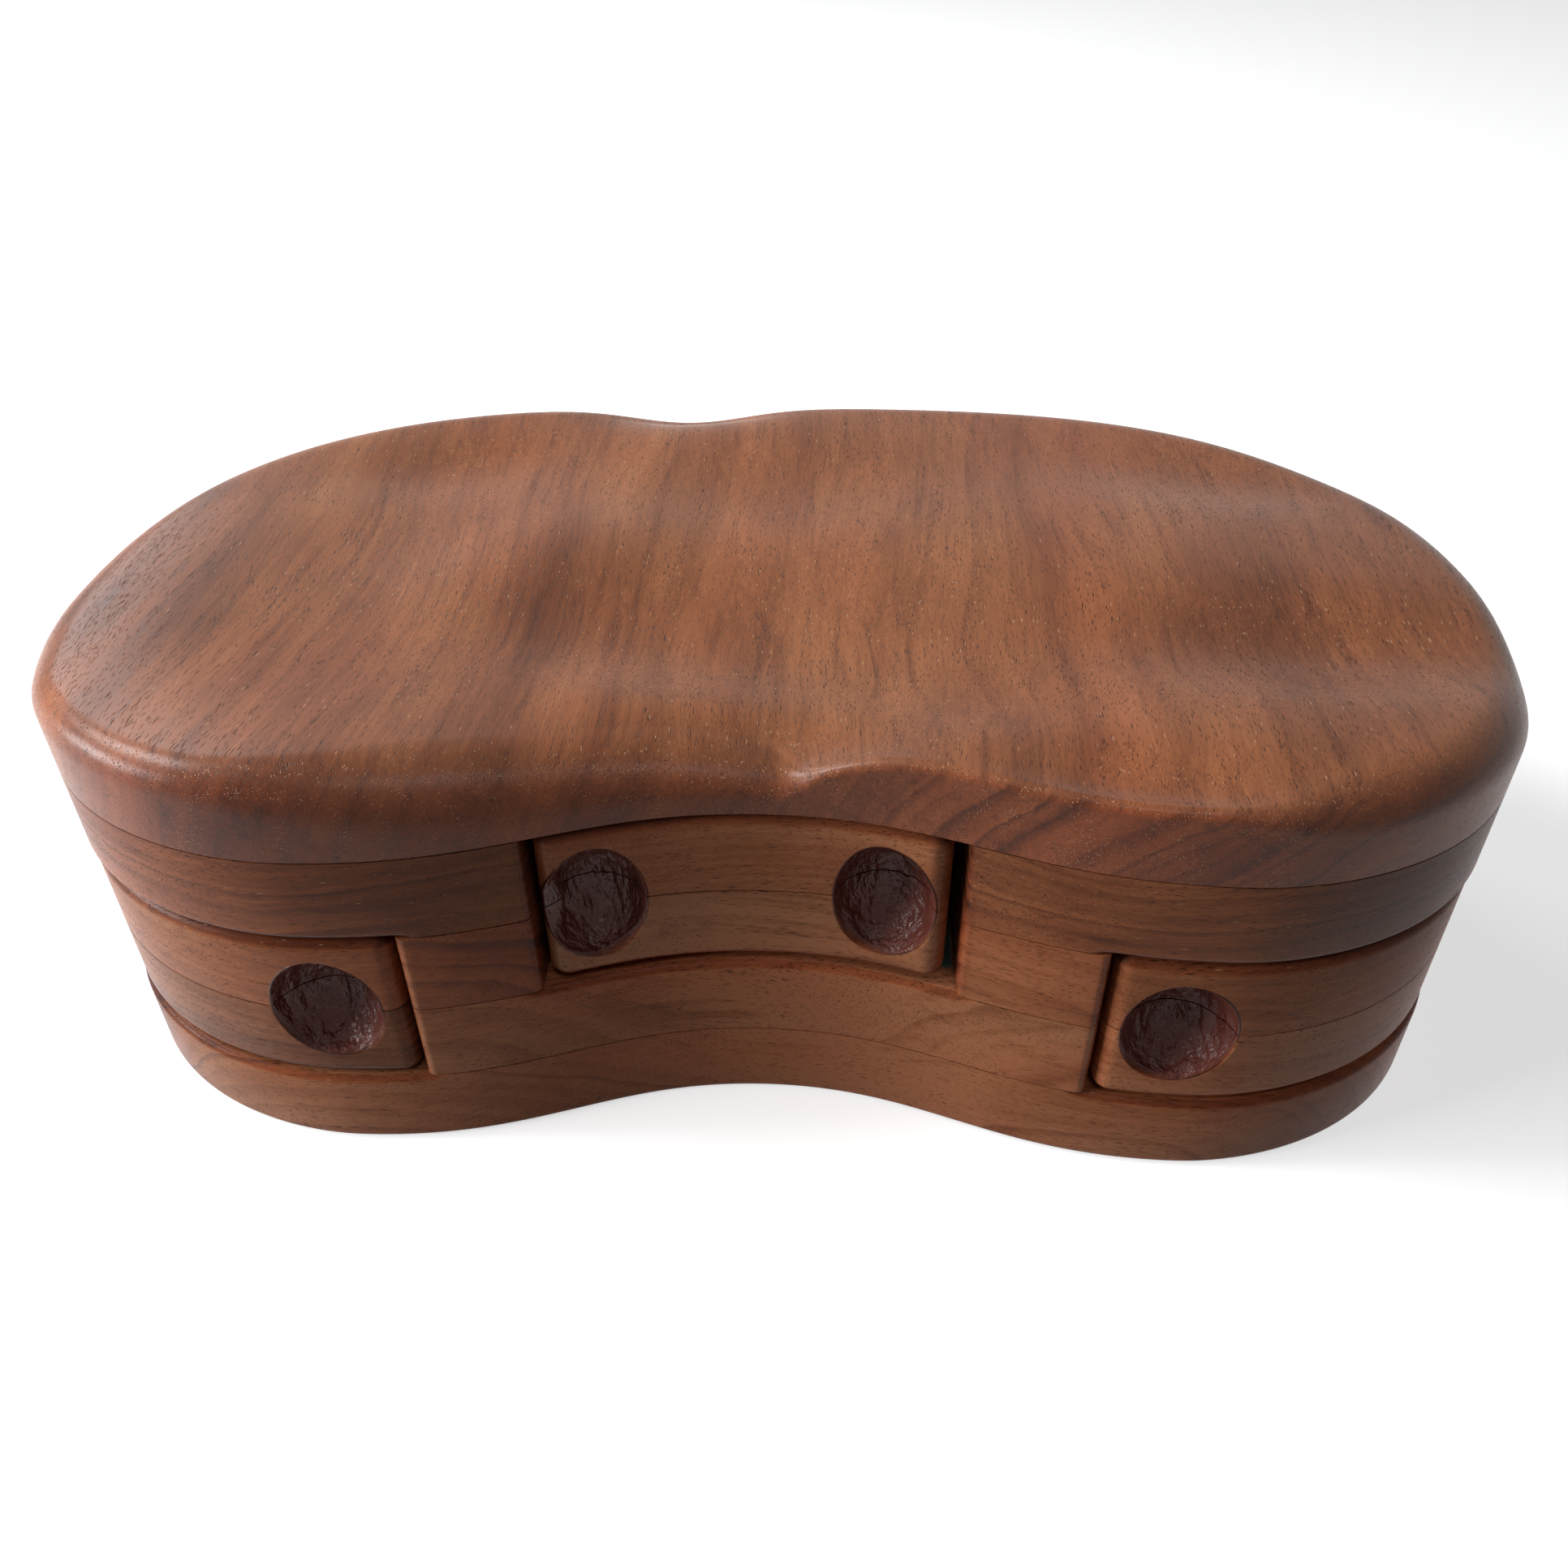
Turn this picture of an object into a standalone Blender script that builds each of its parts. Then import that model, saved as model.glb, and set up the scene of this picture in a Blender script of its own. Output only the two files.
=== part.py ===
# A kidney-shaped jewellery box of walnut, glued up from five boards, with a carved top.
# A drawer slides out of the hollow front, and a drawer swings out of each end on an upright pin.
# Metres, +Z up, the front faces -Y, and the origin is under the middle of the box on the table.
import math

import bmesh
import bpy
from mathutils import Vector

# Outline of the box from above
LENGTH = 0.2838
DEPTH = 0.1550

# Each row is a point of the right half outline, as shares of half the length and of the depth
OUTLINE_SHARES = (
    (0.000, 0.101), (0.238, 0.101), (0.314, 0.000), (0.579, 0.000),
    (0.732, 0.000), (1.000, 0.091), (1.000, 0.379),
    (1.000, 1.000), (0.416, 1.000), (0.000, 1.000),
)
STEPS_PER_CURVE = 22
POINT_SPACING = 0.0058
ARC_STEP = math.radians(24)
HEEL_STEPS = 4
EDGE_STEPS = 3
ROD_SIDES = 20

# Boards, from the table up
BASE_THICKNESS = 0.01905
CORE_THICKNESS = 0.01905
TOP_THICKNESS = 0.01905
GLUE_LINE = 0.0003

# Carved top: what the rim rolls over by, and how the face rises and falls from the rim's height
RIM_ROLL = 0.0085
RIM_ROLL_STEPS = 4
# The least of the side that stays upright under the roll
RIM_LIP = 0.0022
# Each row is a stretch of the front rim as shares of half the length, where it begins to change,
# has changed, begins to change back and has, and then how much broader its roll is, as a share
ROLL_SHARES = (
    (-0.99, -0.93, -0.70, -0.55, -0.30),
    (-0.60, -0.40, -0.12, 0.04, 0.40),
    (-0.02, 0.10, 0.42, 0.66, -0.58),
)
FACE_RING_SHARES = (0.93, 0.84, 0.73, 0.60, 0.46, 0.31, 0.16)
# Each row is a hollow: its middle and its reach as shares of half the length and half the depth,
# the turn of its long axis in degrees, and its depth as a share of CARVING_DEPTH (a hump if below 0)
CARVING_DEPTH = 0.0062
HOLLOW_STEEPNESS = 1.2
CREST_ROUNDING = 0.0006
HOLLOW_SHARES = (
    (-0.57, -0.20, 0.22, 0.63, -28, 0.58),
    (0.74, -0.38, 0.33, 0.22, -3, 0.84),
    (-0.09, 1.13, 0.20, 0.19, 25, 2.72),
    (-0.08, 0.41, 0.41, 0.33, 7, 0.77),
    (-0.10, -0.40, 0.56, 0.60, -16, 1.72),
    (0.01, -0.84, 0.19, 0.21, -4, 2.46),
    (-0.37, 0.04, 0.31, 0.32, 32, -0.74),
    (0.21, -0.90, 0.50, 0.22, -23, -1.44),
    (-0.53, 0.54, 0.24, 0.20, 14, 0.57),
    (0.67, 0.49, 0.25, 0.23, -13, 0.50),
)

# Drawer in the hollow of the front
WELL_WIDTH = 0.0785
WELL_REACH = 0.1195
WELL_SHIFT = -0.0027
WELL_CORNER = 0.0050
WELL_FELT = 0.0008
WELL_FELT_SETBACK = 0.0060
CENTRE_SIDE_GAP = 0.0017
CENTRE_SIT = -0.0007
CENTRE_BACK_GAP = 0.0010

# Drawers in the two ends
LEFT_SEAM = 0.0660
RIGHT_SEAM = 0.0624
SWING_GAP = 0.0010
INNER_CORNER = 0.0100
HINGE_SHARE = 0.253
PIN_INSET = 0.0092
HEEL_RADIUS = 0.0118
HEEL_TURN = math.radians(16)
PIN_DIAMETER = 0.0060
PIN_SINK = 0.0080
PIN_FIT = 0.0003
BORE_FIT = 0.0004
BOSS_WALL = 0.0080

# What the three drawers share
SEAT_GAP = 0.0003
HEAD_GAP = 0.0009
FACE_SETBACK = 0.0005
DRAWER_EDGE = 0.0027
CORNER_EXTRA = 0.0008
OPENING_EDGE = 0.0018
FRONT_WALL = 0.0140
SIDE_WALL = 0.0080
POCKET_CORNER = 0.0090
PANEL_THICKNESS = 0.0040
PANEL_REBATE = 0.0035
PANEL_FIT = 0.0003
LINING_THICKNESS = 0.0012
LINING_FIT = 0.0004

# Finger scoops
SCOOP_DEPTH = 0.0090
SCOOP_STANDOFF = 0.0020
CENTRE_SCOOP_HEIGHT = 0.0265
CENTRE_SCOOP_WIDTH = 0.0192
CENTRE_SCOOP_SPACING = 0.0530
CENTRE_SCOOP_SHIFT = -0.0009
SIDE_SCOOP_WIDTH = 0.0212
SIDE_SCOOP_HEIGHT = 0.0250
LEFT_SCOOP = 0.0818
RIGHT_SCOOP = 0.0767

# How far a cutter runs past what it cuts
OVERRUN = 0.0020
# Two points of an outline closer than this are one
CLOSE_POINTS = 0.0004

# Levels worked out from the boards
BASE_TOP = BASE_THICKNESS
LOWER_TOP = BASE_TOP + CORE_THICKNESS
MIDDLE_TOP = LOWER_TOP + CORE_THICKNESS
UPPER_TOP = MIDDLE_TOP + CORE_THICKNESS
RIM_HEIGHT = UPPER_TOP + TOP_THICKNESS
HALF_LENGTH = LENGTH / 2
HALF_DEPTH = DEPTH / 2
WELL_LEFT = WELL_SHIFT - WELL_WIDTH / 2
WELL_RIGHT = WELL_SHIFT + WELL_WIDTH / 2
WELL_BACK = WELL_REACH - HALF_DEPTH
EDGE_CORNER = DRAWER_EDGE + CORNER_EXTRA


def clear_scene():
    for obj in list(bpy.data.objects):
        bpy.data.objects.remove(obj, do_unlink=True)


def material(name, color, roughness, metallic=0.0):
    mat = bpy.data.materials.new(name)
    mat.use_nodes = True
    shader = mat.node_tree.nodes["Principled BSDF"]
    shader.inputs["Base Color"].default_value = (*color, 1.0)
    shader.inputs["Roughness"].default_value = roughness
    shader.inputs["Metallic"].default_value = metallic
    return mat


def bezier(p0, p1, p2, p3, steps):
    points = []
    for k in range(steps):
        u = k / steps
        v = 1 - u
        points.append(p0 * v ** 3 + p1 * (3 * u * v * v) + p2 * (3 * u * u * v) + p3 * u ** 3)
    return points


def control_points():
    return [Vector((sx * HALF_LENGTH, sy * DEPTH - HALF_DEPTH)) for sx, sy in OUTLINE_SHARES]


def right_half():
    """The outline's right half, from the middle of the front to the middle of the back."""
    c = control_points()
    points = []
    for first in (0, 3, 6):
        points += bezier(*c[first:first + 4], STEPS_PER_CURVE)
    return points + [c[9]]


def resample(points, spacing):
    """The same line with points an even distance apart, near the spacing."""
    lengths = [0.0]
    for a, b in zip(points, points[1:]):
        lengths.append(lengths[-1] + (b - a).length)
    count = max(1, round(lengths[-1] / spacing))
    out = []
    k = 0
    for i in range(count + 1):
        want = lengths[-1] * i / count
        while k < len(points) - 2 and lengths[k + 1] < want:
            k += 1
        part = (want - lengths[k]) / (lengths[k + 1] - lengths[k])
        out.append(points[k].lerp(points[k + 1], part))
    return out


def mirror(points):
    return [Vector((-p.x, p.y)) for p in reversed(points)]


def outline():
    """The whole outline, once round against the clock from the middle of the front."""
    half = resample(right_half(), POINT_SPACING)
    return half + mirror(half)[1:-1]


def normals(points, closed=True):
    """Unit vectors that point out of a line run against the clock."""
    out = []
    count = len(points)
    for i in range(count):
        before = points[i - 1] if closed or i else points[0]
        after = points[(i + 1) % count] if closed or i < count - 1 else points[-1]
        run = (after - before).normalized()
        out.append(Vector((run.y, -run.x)))
    return out


def inset(points, distance, closed=True):
    """The line moved in by a distance, or by one distance for each point."""
    if not isinstance(distance, (list, tuple)):
        distance = [distance] * len(points)
    return [p - n * d for p, n, d in zip(points, normals(points, closed), distance)]


def crossing(points, test):
    """The place, as an index and a part, where a test of the points first changes sign."""
    for i in range(len(points) - 1):
        a = test(points[i])
        b = test(points[i + 1])
        if (a < 0) != (b < 0):
            return i + a / (a - b)
    raise ValueError("the line does not cross")


def stretch(points, start, end):
    """The part of a line between two places."""
    return [at(points, start)] + points[int(start) + 1:math.ceil(end)] + [at(points, end)]


def at(points, place):
    k = min(int(place), len(points) - 2)
    return points[k].lerp(points[k + 1], place - k)


def tidy(points):
    """A closed line without points that nearly coincide."""
    out = []
    for p in points:
        if not out or (p - out[-1]).length > CLOSE_POINTS:
            out.append(p)
    while (out[0] - out[-1]).length <= CLOSE_POINTS:
        out.pop()
    return out


def arc(centre, radius, start, end, steps):
    out = []
    for k in range(steps + 1):
        angle = start + (end - start) * k / steps
        out.append(centre + Vector((math.cos(angle), math.sin(angle))) * radius)
    return out


def meet(a, b, c, d):
    """Where two stretches of line meet, as the share along each, or None."""
    r = b - a
    s = d - c
    cross = r.x * s.y - r.y * s.x
    if cross == 0:
        return None
    t = ((c.x - a.x) * s.y - (c.y - a.y) * s.x) / cross
    u = ((c.x - a.x) * r.y - (c.y - a.y) * r.x) / cross
    if 0 <= t <= 1 and 0 <= u <= 1:
        return t, u
    return None


def fillet(path_a, path_b, radius):
    """Round the corner where one path ends and the next begins; the turn decides the side."""
    run_a = path_a[-1] - path_a[-2]
    run_b = path_b[1] - path_b[0]
    side = 1 if run_a.x * run_b.y - run_a.y * run_b.x > 0 else -1
    off_a = inset(path_a, radius * side, closed=False)
    off_b = inset(path_b, radius * side, closed=False)
    for i in range(len(off_a) - 2, -1, -1):
        for j in range(len(off_b) - 1):
            hit = meet(off_a[i], off_a[i + 1], off_b[j], off_b[j + 1])
            if hit:
                centre = off_a[i].lerp(off_a[i + 1], hit[0])
                on_a = path_a[i].lerp(path_a[i + 1], hit[0])
                on_b = path_b[j].lerp(path_b[j + 1], hit[1])
                start = math.atan2(on_a.y - centre.y, on_a.x - centre.x)
                turn = (on_a - centre).angle_signed(on_b - centre)
                steps = max(2, round(abs(turn) / ARC_STEP))
                bend = arc(centre, radius, start, start - turn, steps)
                return path_a[:i + 1] + [on_a], bend[1:-1], [on_b] + path_b[j + 1:]
    raise ValueError("no room for the rounded corner")


def rounded(paths, radii):
    """Join paths into one closed line, each joint rounded by its radius (0 leaves it sharp)."""
    paths = [list(path) for path in paths]
    bends = []
    for k, radius in enumerate(radii):
        after = (k + 1) % len(paths)
        if radius:
            paths[k], bend, paths[after] = fillet(paths[k], paths[after], radius)
        else:
            bend = []
        bends.append(bend)
    out = []
    for path, bend in zip(paths, bends):
        out += path + bend
    return tidy(out)


def straight(a, b):
    """A straight run with a few points, so that a corner on it can be rounded."""
    return [Vector(a).lerp(Vector(b), k / 8) for k in range(9)]


def loft(name, loops, mat):
    """A closed solid through loops of equally many points, with a flat cap at each end."""
    bm = bmesh.new()
    rings = []
    for points, z in loops:
        heights = z if isinstance(z, (list, tuple)) else [z] * len(points)
        rings.append([bm.verts.new((p.x, p.y, h)) for p, h in zip(points, heights)])
    for low, high in zip(rings, rings[1:]):
        count = len(low)
        for i in range(count):
            j = (i + 1) % count
            bm.faces.new((low[i], low[j], high[j], high[i]))
    bm.faces.new(list(reversed(rings[0])))
    bm.faces.new(rings[-1])
    return add(name, bm, mat)


def add(name, bm, mat):
    mesh = bpy.data.meshes.new(name)
    bm.normal_update()
    bmesh.ops.recalc_face_normals(bm, faces=bm.faces)
    bm.to_mesh(mesh)
    bm.free()
    mesh.shade_smooth()
    mesh.set_sharp_from_angle(angle=math.radians(32))
    obj = bpy.data.objects.new(name, mesh)
    bpy.context.collection.objects.link(obj)
    if mat:
        mesh.materials.append(mat)
    return obj


def prism(name, points, low, high, mat=None):
    return loft(name, [(points, low), (points, high)], mat)


def as_cutter(obj):
    obj.hide_render = True
    obj.display_type = "WIRE"
    return obj


def cut(obj, cutter):
    boolean = obj.modifiers.new("Cut " + cutter.name, "BOOLEAN")
    boolean.operation = "DIFFERENCE"
    boolean.solver = "EXACT"
    boolean.object = cutter


def cylinder(name, centre, radius, low, high, mat=None):
    ring = arc(centre, radius, 0, math.tau, ROD_SIDES)[:-1]
    return loft(name, [(ring, low), (ring, high)], mat)


def hang_on(objects, axle_name, location):
    """Parent pieces to an empty on their joint's axis, and leave them where they are."""
    empty = bpy.data.objects.new(axle_name, None)
    empty.location = location
    bpy.context.collection.objects.link(empty)
    for obj in objects:
        obj.parent = empty
        obj.matrix_parent_inverse = empty.matrix_basis.inverted()


def smooth_step(value, low, high):
    t = min(max((value - low) / (high - low), 0.0), 1.0)
    return t * t * (3 - 2 * t)


def plateau(value, rise, top, fall, end):
    """1 from top to fall, 0 before rise and after end, smooth between."""
    return smooth_step(value, rise, top) * (1 - smooth_step(value, fall, end))


def pivot():
    """Middle of the right drawer's pin: inside the outline, a share of the way round its side."""
    c = control_points()[6:10]
    points = bezier(*c, 100)
    i = round(HINGE_SHARE * 100)
    run = (points[i + 1] - points[i - 1]).normalized()
    return points[i] - Vector((run.y, -run.x)) * PIN_INSET


def heel_place(line, centre, radius):
    """Where the line, going back past the pin, leaves the heel's circle."""
    nearest = min(range(len(line)), key=lambda i: (line[i] - centre).length)
    rest = line[nearest:]
    return nearest + crossing(rest, lambda p: (p - centre).length - radius)


def heel_angle():
    """The direction from the pin in which the heel's arc ends and the rear wall begins."""
    centre = pivot()
    line = inset(resample(right_half(), POINT_SPACING), FACE_SETBACK, closed=False)
    end = heel_place(line, centre, HEEL_RADIUS)
    last = at(line, end) - centre
    return math.atan2(last.y, last.x) + HEEL_TURN


def rear_corner(x, radius):
    """Where the rear wall, which leaves a circle about the pin, meets an inner wall at x."""
    angle = heel_angle()
    centre = pivot()
    along = Vector((math.cos(angle), math.sin(angle)))
    return Vector((x, centre.y + (radius - (x - centre.x) * along.x) / along.y))


def side_drawer_plan(seam):
    """A right drawer: round the end of the box, about the pin, and back along the inner wall."""
    centre = pivot()
    line = inset(resample(right_half(), POINT_SPACING), FACE_SETBACK, closed=False)
    inner = seam + SWING_GAP
    corner = rear_corner(inner, HEEL_RADIUS)
    start = crossing(line, lambda p: p.x - inner)
    end = heel_place(line, centre, HEEL_RADIUS)
    face = stretch(line, start, end)
    angle = math.atan2(face[-1].y - centre.y, face[-1].x - centre.x)
    heel = arc(centre, HEEL_RADIUS, angle, heel_angle(), HEEL_STEPS)
    rear = straight(heel[-1], corner)
    side = straight(corner, face[0])
    return rounded([face, heel, rear, side], [EDGE_CORNER, 0, INNER_CORNER, EDGE_CORNER])


def side_pocket_plan(seam):
    """The hollow of a right drawer: a thick front wall, and wood left round the pin."""
    centre = pivot()
    line = inset(resample(right_half(), POINT_SPACING), FACE_SETBACK + FRONT_WALL, closed=False)
    inner = seam + SWING_GAP + SIDE_WALL
    corner = rear_corner(inner, HEEL_RADIUS - SIDE_WALL)
    boss = PIN_DIAMETER / 2 + BOSS_WALL
    # the rear wall runs from the inner corner past the front of the boss
    reach = centre - corner
    lean = math.atan2(reach.y, reach.x) - math.asin(boss / reach.length)
    run = Vector((math.cos(lean), math.sin(lean)))
    start = crossing(line, lambda p: p.x - inner)
    outside = stretch(line, start, len(line) - 1)
    meets = crossing(outside, lambda p: (p - corner).x * run.y - (p - corner).y * run.x)
    face = stretch(outside, 0, meets)
    rear = straight(face[-1], corner)
    side = straight(corner, face[0])
    return rounded([face, rear, side], [POCKET_CORNER] * 3)


def front_line(setback):
    """The front half of the outline from left to right, moved in by a setback."""
    half = resample(right_half(), POINT_SPACING)
    line = inset(mirror(half)[:-1] + half, setback, closed=False)
    return [p for p in line if p.y < 0]


def well_walls(front_left, front_right):
    """The centre drawer's way in, from the front and back to it."""
    back_left = Vector((WELL_LEFT, WELL_BACK))
    back_right = Vector((WELL_RIGHT, WELL_BACK))
    return [straight(front_left, back_left), straight(back_left, back_right), straight(back_right, front_right)]


def core_plan(with_well):
    """The fixed wood between the side drawers, with a socket for each heel at the back."""
    half = resample(right_half(), POINT_SPACING)
    centre = pivot()
    radius = HEEL_RADIUS + SWING_GAP
    end = heel_place(half, centre, radius)
    tail = stretch(half, end, len(half) - 1)
    angle = math.atan2(tail[0].y - centre.y, tail[0].x - centre.x)
    socket = arc(centre, radius, heel_angle(), angle, HEEL_STEPS)
    rim = INNER_CORNER + SWING_GAP
    front_right = stretch(half, 0, crossing(half, lambda p: p.x - RIGHT_SEAM))
    front_left = mirror(stretch(half, 0, crossing(half, lambda p: p.x - LEFT_SEAM)))
    right = rear_corner(RIGHT_SEAM, radius)
    left = mirror([rear_corner(LEFT_SEAM, radius)])[0]
    wall_right = straight(front_right[-1], right)
    wall_left = straight(left, front_left[0])
    rear_right = straight(right, socket[0])
    rear_left = straight(mirror(socket)[-1], left)
    front = front_left[:-1] + front_right
    paths = [wall_right, rear_right, socket, tail[:-1] + mirror(tail), mirror(socket), rear_left, wall_left]
    radii = [rim, 0, 0, 0, 0, rim, OPENING_EDGE]
    if not with_well:
        return rounded(paths + [front], radii + [OPENING_EDGE])
    to_well = stretch(front, 0, crossing(front, lambda p: p.x - WELL_LEFT))
    from_well = stretch(front, crossing(front, lambda p: p.x - WELL_RIGHT), len(front) - 1)
    paths += [to_well] + well_walls(to_well[-1], from_well[0]) + [from_well]
    return rounded(paths, radii + [OPENING_EDGE, WELL_CORNER, WELL_CORNER, OPENING_EDGE, OPENING_EDGE])


def roof_plan():
    """The upper core board: the whole outline, but for the centre drawer's way in."""
    half = resample(right_half(), POINT_SPACING)
    right = stretch(half, crossing(half, lambda p: p.x - WELL_RIGHT), len(half) - 1)
    left = mirror(stretch(half, crossing(half, lambda p: p.x + WELL_LEFT), len(half) - 1))
    paths = [right[:-1] + left] + well_walls(left[-1], right[0])
    return rounded(paths, [OPENING_EDGE, WELL_CORNER, WELL_CORNER, OPENING_EDGE])


def centre_drawer_plan(wall_side=0, wall_front=0, wall_back=0, front_corner=0, back_corner=0):
    """The centre drawer's outline, or with walls the outline of its hollow."""
    line = front_line(FACE_SETBACK + wall_front)
    middle = WELL_SHIFT + CENTRE_SIT
    reach = WELL_WIDTH / 2 - CENTRE_SIDE_GAP - wall_side
    left = middle - reach
    right = middle + reach
    back = WELL_BACK - CENTRE_BACK_GAP - wall_back
    face = stretch(line, crossing(line, lambda p: p.x - left), crossing(line, lambda p: p.x - right))
    paths = [face, straight(face[-1], (right, back)), straight((right, back), (left, back)),
             straight((left, back), face[0])]
    return rounded(paths, [front_corner, back_corner, back_corner, front_corner])


def softened(plan, low, high, edge, at_top):
    """Loops of an upright solid with its top or bottom edge rounded over."""
    loops = [(plan, low), (plan, high)]
    for k in range(1, EDGE_STEPS + 1):
        angle = math.pi / 2 * k / EDGE_STEPS
        ring = inset(plan, edge * (1 - math.cos(angle)))
        rise = edge * math.sin(angle)
        if at_top:
            loops.append((ring, high - edge + rise))
        else:
            loops.insert(0, (ring, low + edge - rise))
    if at_top:
        loops[1] = (plan, high - edge)
    else:
        loops[-2] = (plan, low + edge)
    return loops


def scoop(name, x, width, height, level):
    """An egg-shaped cutter that leaves a finger scoop in the front at x."""
    front = front_line(FACE_SETBACK)
    place = crossing(front, lambda p: p.x - x)
    on_face = at(front, place)
    out = normals(front, closed=False)[int(place)]
    deep = SCOOP_DEPTH + SCOOP_STANDOFF
    swell = 1 / math.sqrt(1 - (SCOOP_STANDOFF / deep) ** 2)
    bm = bmesh.new()
    bmesh.ops.create_uvsphere(bm, u_segments=20, v_segments=12, radius=1)
    for v in bm.verts:
        v.co = Vector((v.co.x * width / 2 * swell, -v.co.z * deep, v.co.y * height / 2 * swell))
    obj = add(name, bm, None)
    centre = on_face + out * SCOOP_STANDOFF
    obj.location = (centre.x, centre.y, level)
    obj.rotation_euler = (0, 0, math.atan2(out.y, out.x) + math.pi / 2)
    return as_cutter(obj)


def drawer(name, plan, pocket, lining, low, seam, high, mats, cutters):
    """Two rings glued at the seam, a bottom panel in a rebate from below, and a lining on it."""
    lower = loft(name + "_lower_ring", softened(plan, low, seam - GLUE_LINE, DRAWER_EDGE, False), mats[0])
    upper = loft(name + "_upper_ring", softened(plan, seam, high, DRAWER_EDGE, True), mats[1])
    hole = as_cutter(prism(name + "_hollow", pocket, low - OVERRUN, high + OVERRUN))
    rebate_top = low + PANEL_THICKNESS + PANEL_FIT
    wide = inset(pocket, -PANEL_REBATE)
    rebate = as_cutter(prism(name + "_rebate", wide, low - OVERRUN, rebate_top))
    for ring in (lower, upper):
        for cutter in [hole] + cutters:
            cut(ring, cutter)
    cut(lower, rebate)
    panel = prism(name + "_bottom", inset(wide, PANEL_FIT), low, low + PANEL_THICKNESS, mats[2])
    bed = low + PANEL_THICKNESS + SEAT_GAP
    felt = prism(name + "_lining", lining, bed, bed + LINING_THICKNESS, mats[3])
    return [lower, upper, panel, felt]


def centre_drawer(mats):
    plan = centre_drawer_plan(front_corner=EDGE_CORNER, back_corner=WELL_CORNER)
    pocket = centre_drawer_plan(SIDE_WALL, FRONT_WALL, SIDE_WALL, POCKET_CORNER, POCKET_CORNER)
    low = LOWER_TOP + WELL_FELT + SEAT_GAP
    high = UPPER_TOP - HEAD_GAP
    middle = WELL_SHIFT + CENTRE_SIT + CENTRE_SCOOP_SHIFT
    scoops = []
    for side, sign in (("left", -1), ("right", 1)):
        x = middle + sign * CENTRE_SCOOP_SPACING / 2
        scoops.append(scoop("centre_scoop_" + side, x, CENTRE_SCOOP_WIDTH, CENTRE_SCOOP_HEIGHT, MIDDLE_TOP))
    pieces = drawer("centre_drawer", plan, pocket, inset(pocket, LINING_FIT),
                    low, MIDDLE_TOP, high, mats, scoops)
    hang_on(pieces, "centre_slide", (WELL_SHIFT, -HALF_DEPTH, LOWER_TOP))


def side_drawer(side, mats):
    seam, scoop_x, sign = {"left": (LEFT_SEAM, LEFT_SCOOP, -1), "right": (RIGHT_SEAM, RIGHT_SCOOP, 1)}[side]
    plan = side_drawer_plan(seam)
    pocket = side_pocket_plan(seam)
    centre = pivot()
    if sign < 0:
        plan = mirror(plan)
        pocket = mirror(pocket)
        centre = Vector((-centre.x, centre.y))
    low = BASE_TOP + SEAT_GAP
    high = MIDDLE_TOP - HEAD_GAP
    bore = PIN_DIAMETER / 2 + BORE_FIT
    name = side + "_drawer"
    cutters = [
        scoop(side + "_scoop", sign * scoop_x, SIDE_SCOOP_WIDTH, SIDE_SCOOP_HEIGHT, LOWER_TOP),
        as_cutter(cylinder(name + "_bore", centre, bore, low - OVERRUN, high + OVERRUN)),
    ]
    pieces = drawer(name, plan, pocket, inset(pocket, LINING_FIT), low, LOWER_TOP, high, mats, cutters)
    hang_on(pieces, side + "_hinge", (centre.x, centre.y, BASE_TOP))


def eased_board(name, plan, low, high, top_mask, bottom_mask, mat):
    """A board whose outer edges are rounded over only where the masks say."""
    def ring(mask, share):
        return inset(plan, [OPENING_EDGE * share * mask(p) for p in plan])
    half_turn = math.sqrt(0.5)
    loops = [
        (ring(bottom_mask, 1), low),
        (ring(bottom_mask, 1 - half_turn), low + OPENING_EDGE * (1 - half_turn)),
        (plan, low + OPENING_EDGE),
        (plan, high - OPENING_EDGE),
        (ring(top_mask, 1 - half_turn), high - OPENING_EDGE * (1 - half_turn)),
        (ring(top_mask, 1), high),
    ]
    return loft(name, loops, mat)


def beside_side_drawers(p):
    """1 where a side drawer shows on the outside of the box, 0 elsewhere, with short ramps."""
    seam = RIGHT_SEAM if p.x > 0 else LEFT_SEAM
    heel = pivot().y + HEEL_RADIUS
    return smooth_step(abs(p.x), seam - POINT_SPACING, seam) * (1 - smooth_step(p.y, heel - POINT_SPACING, heel))


def along_well(p):
    """1 where the centre drawer shows in the front."""
    if p.y > 0:
        return 0
    return plateau(p.x, WELL_LEFT - POINT_SPACING, WELL_LEFT, WELL_RIGHT, WELL_RIGHT + POINT_SPACING)


def nowhere(p):
    return 0


def everywhere(p):
    return 1


def face_height(p):
    """Height of the carved face at a point of the plan."""
    carved = 0
    for x, y, reach_x, reach_y, turn, depth in HOLLOW_SHARES:
        dx = p.x - x * HALF_LENGTH
        dy = p.y - y * HALF_DEPTH
        c = math.cos(math.radians(turn))
        s = math.sin(math.radians(turn))
        along = (c * dx + s * dy) / (reach_x * HALF_LENGTH)
        across = (c * dy - s * dx) / (reach_y * HALF_DEPTH)
        carved += depth * CARVING_DEPTH * math.exp(-HOLLOW_STEEPNESS * (along ** 2 + across ** 2))
    # the carving softly stops at the face of the uncut board
    return RIM_HEIGHT - (carved + math.sqrt(carved ** 2 + 4 * CREST_ROUNDING ** 2)) / 2


def rim_roll(p):
    """How far the rim rolls over at a point: broad at the left of the front, tight at its right."""
    if p.y > 0:
        return RIM_ROLL
    more = 0
    for *span, change in ROLL_SHARES:
        more += change * plateau(p.x / HALF_LENGTH, *span)
    return RIM_ROLL * (1 + more)


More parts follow.
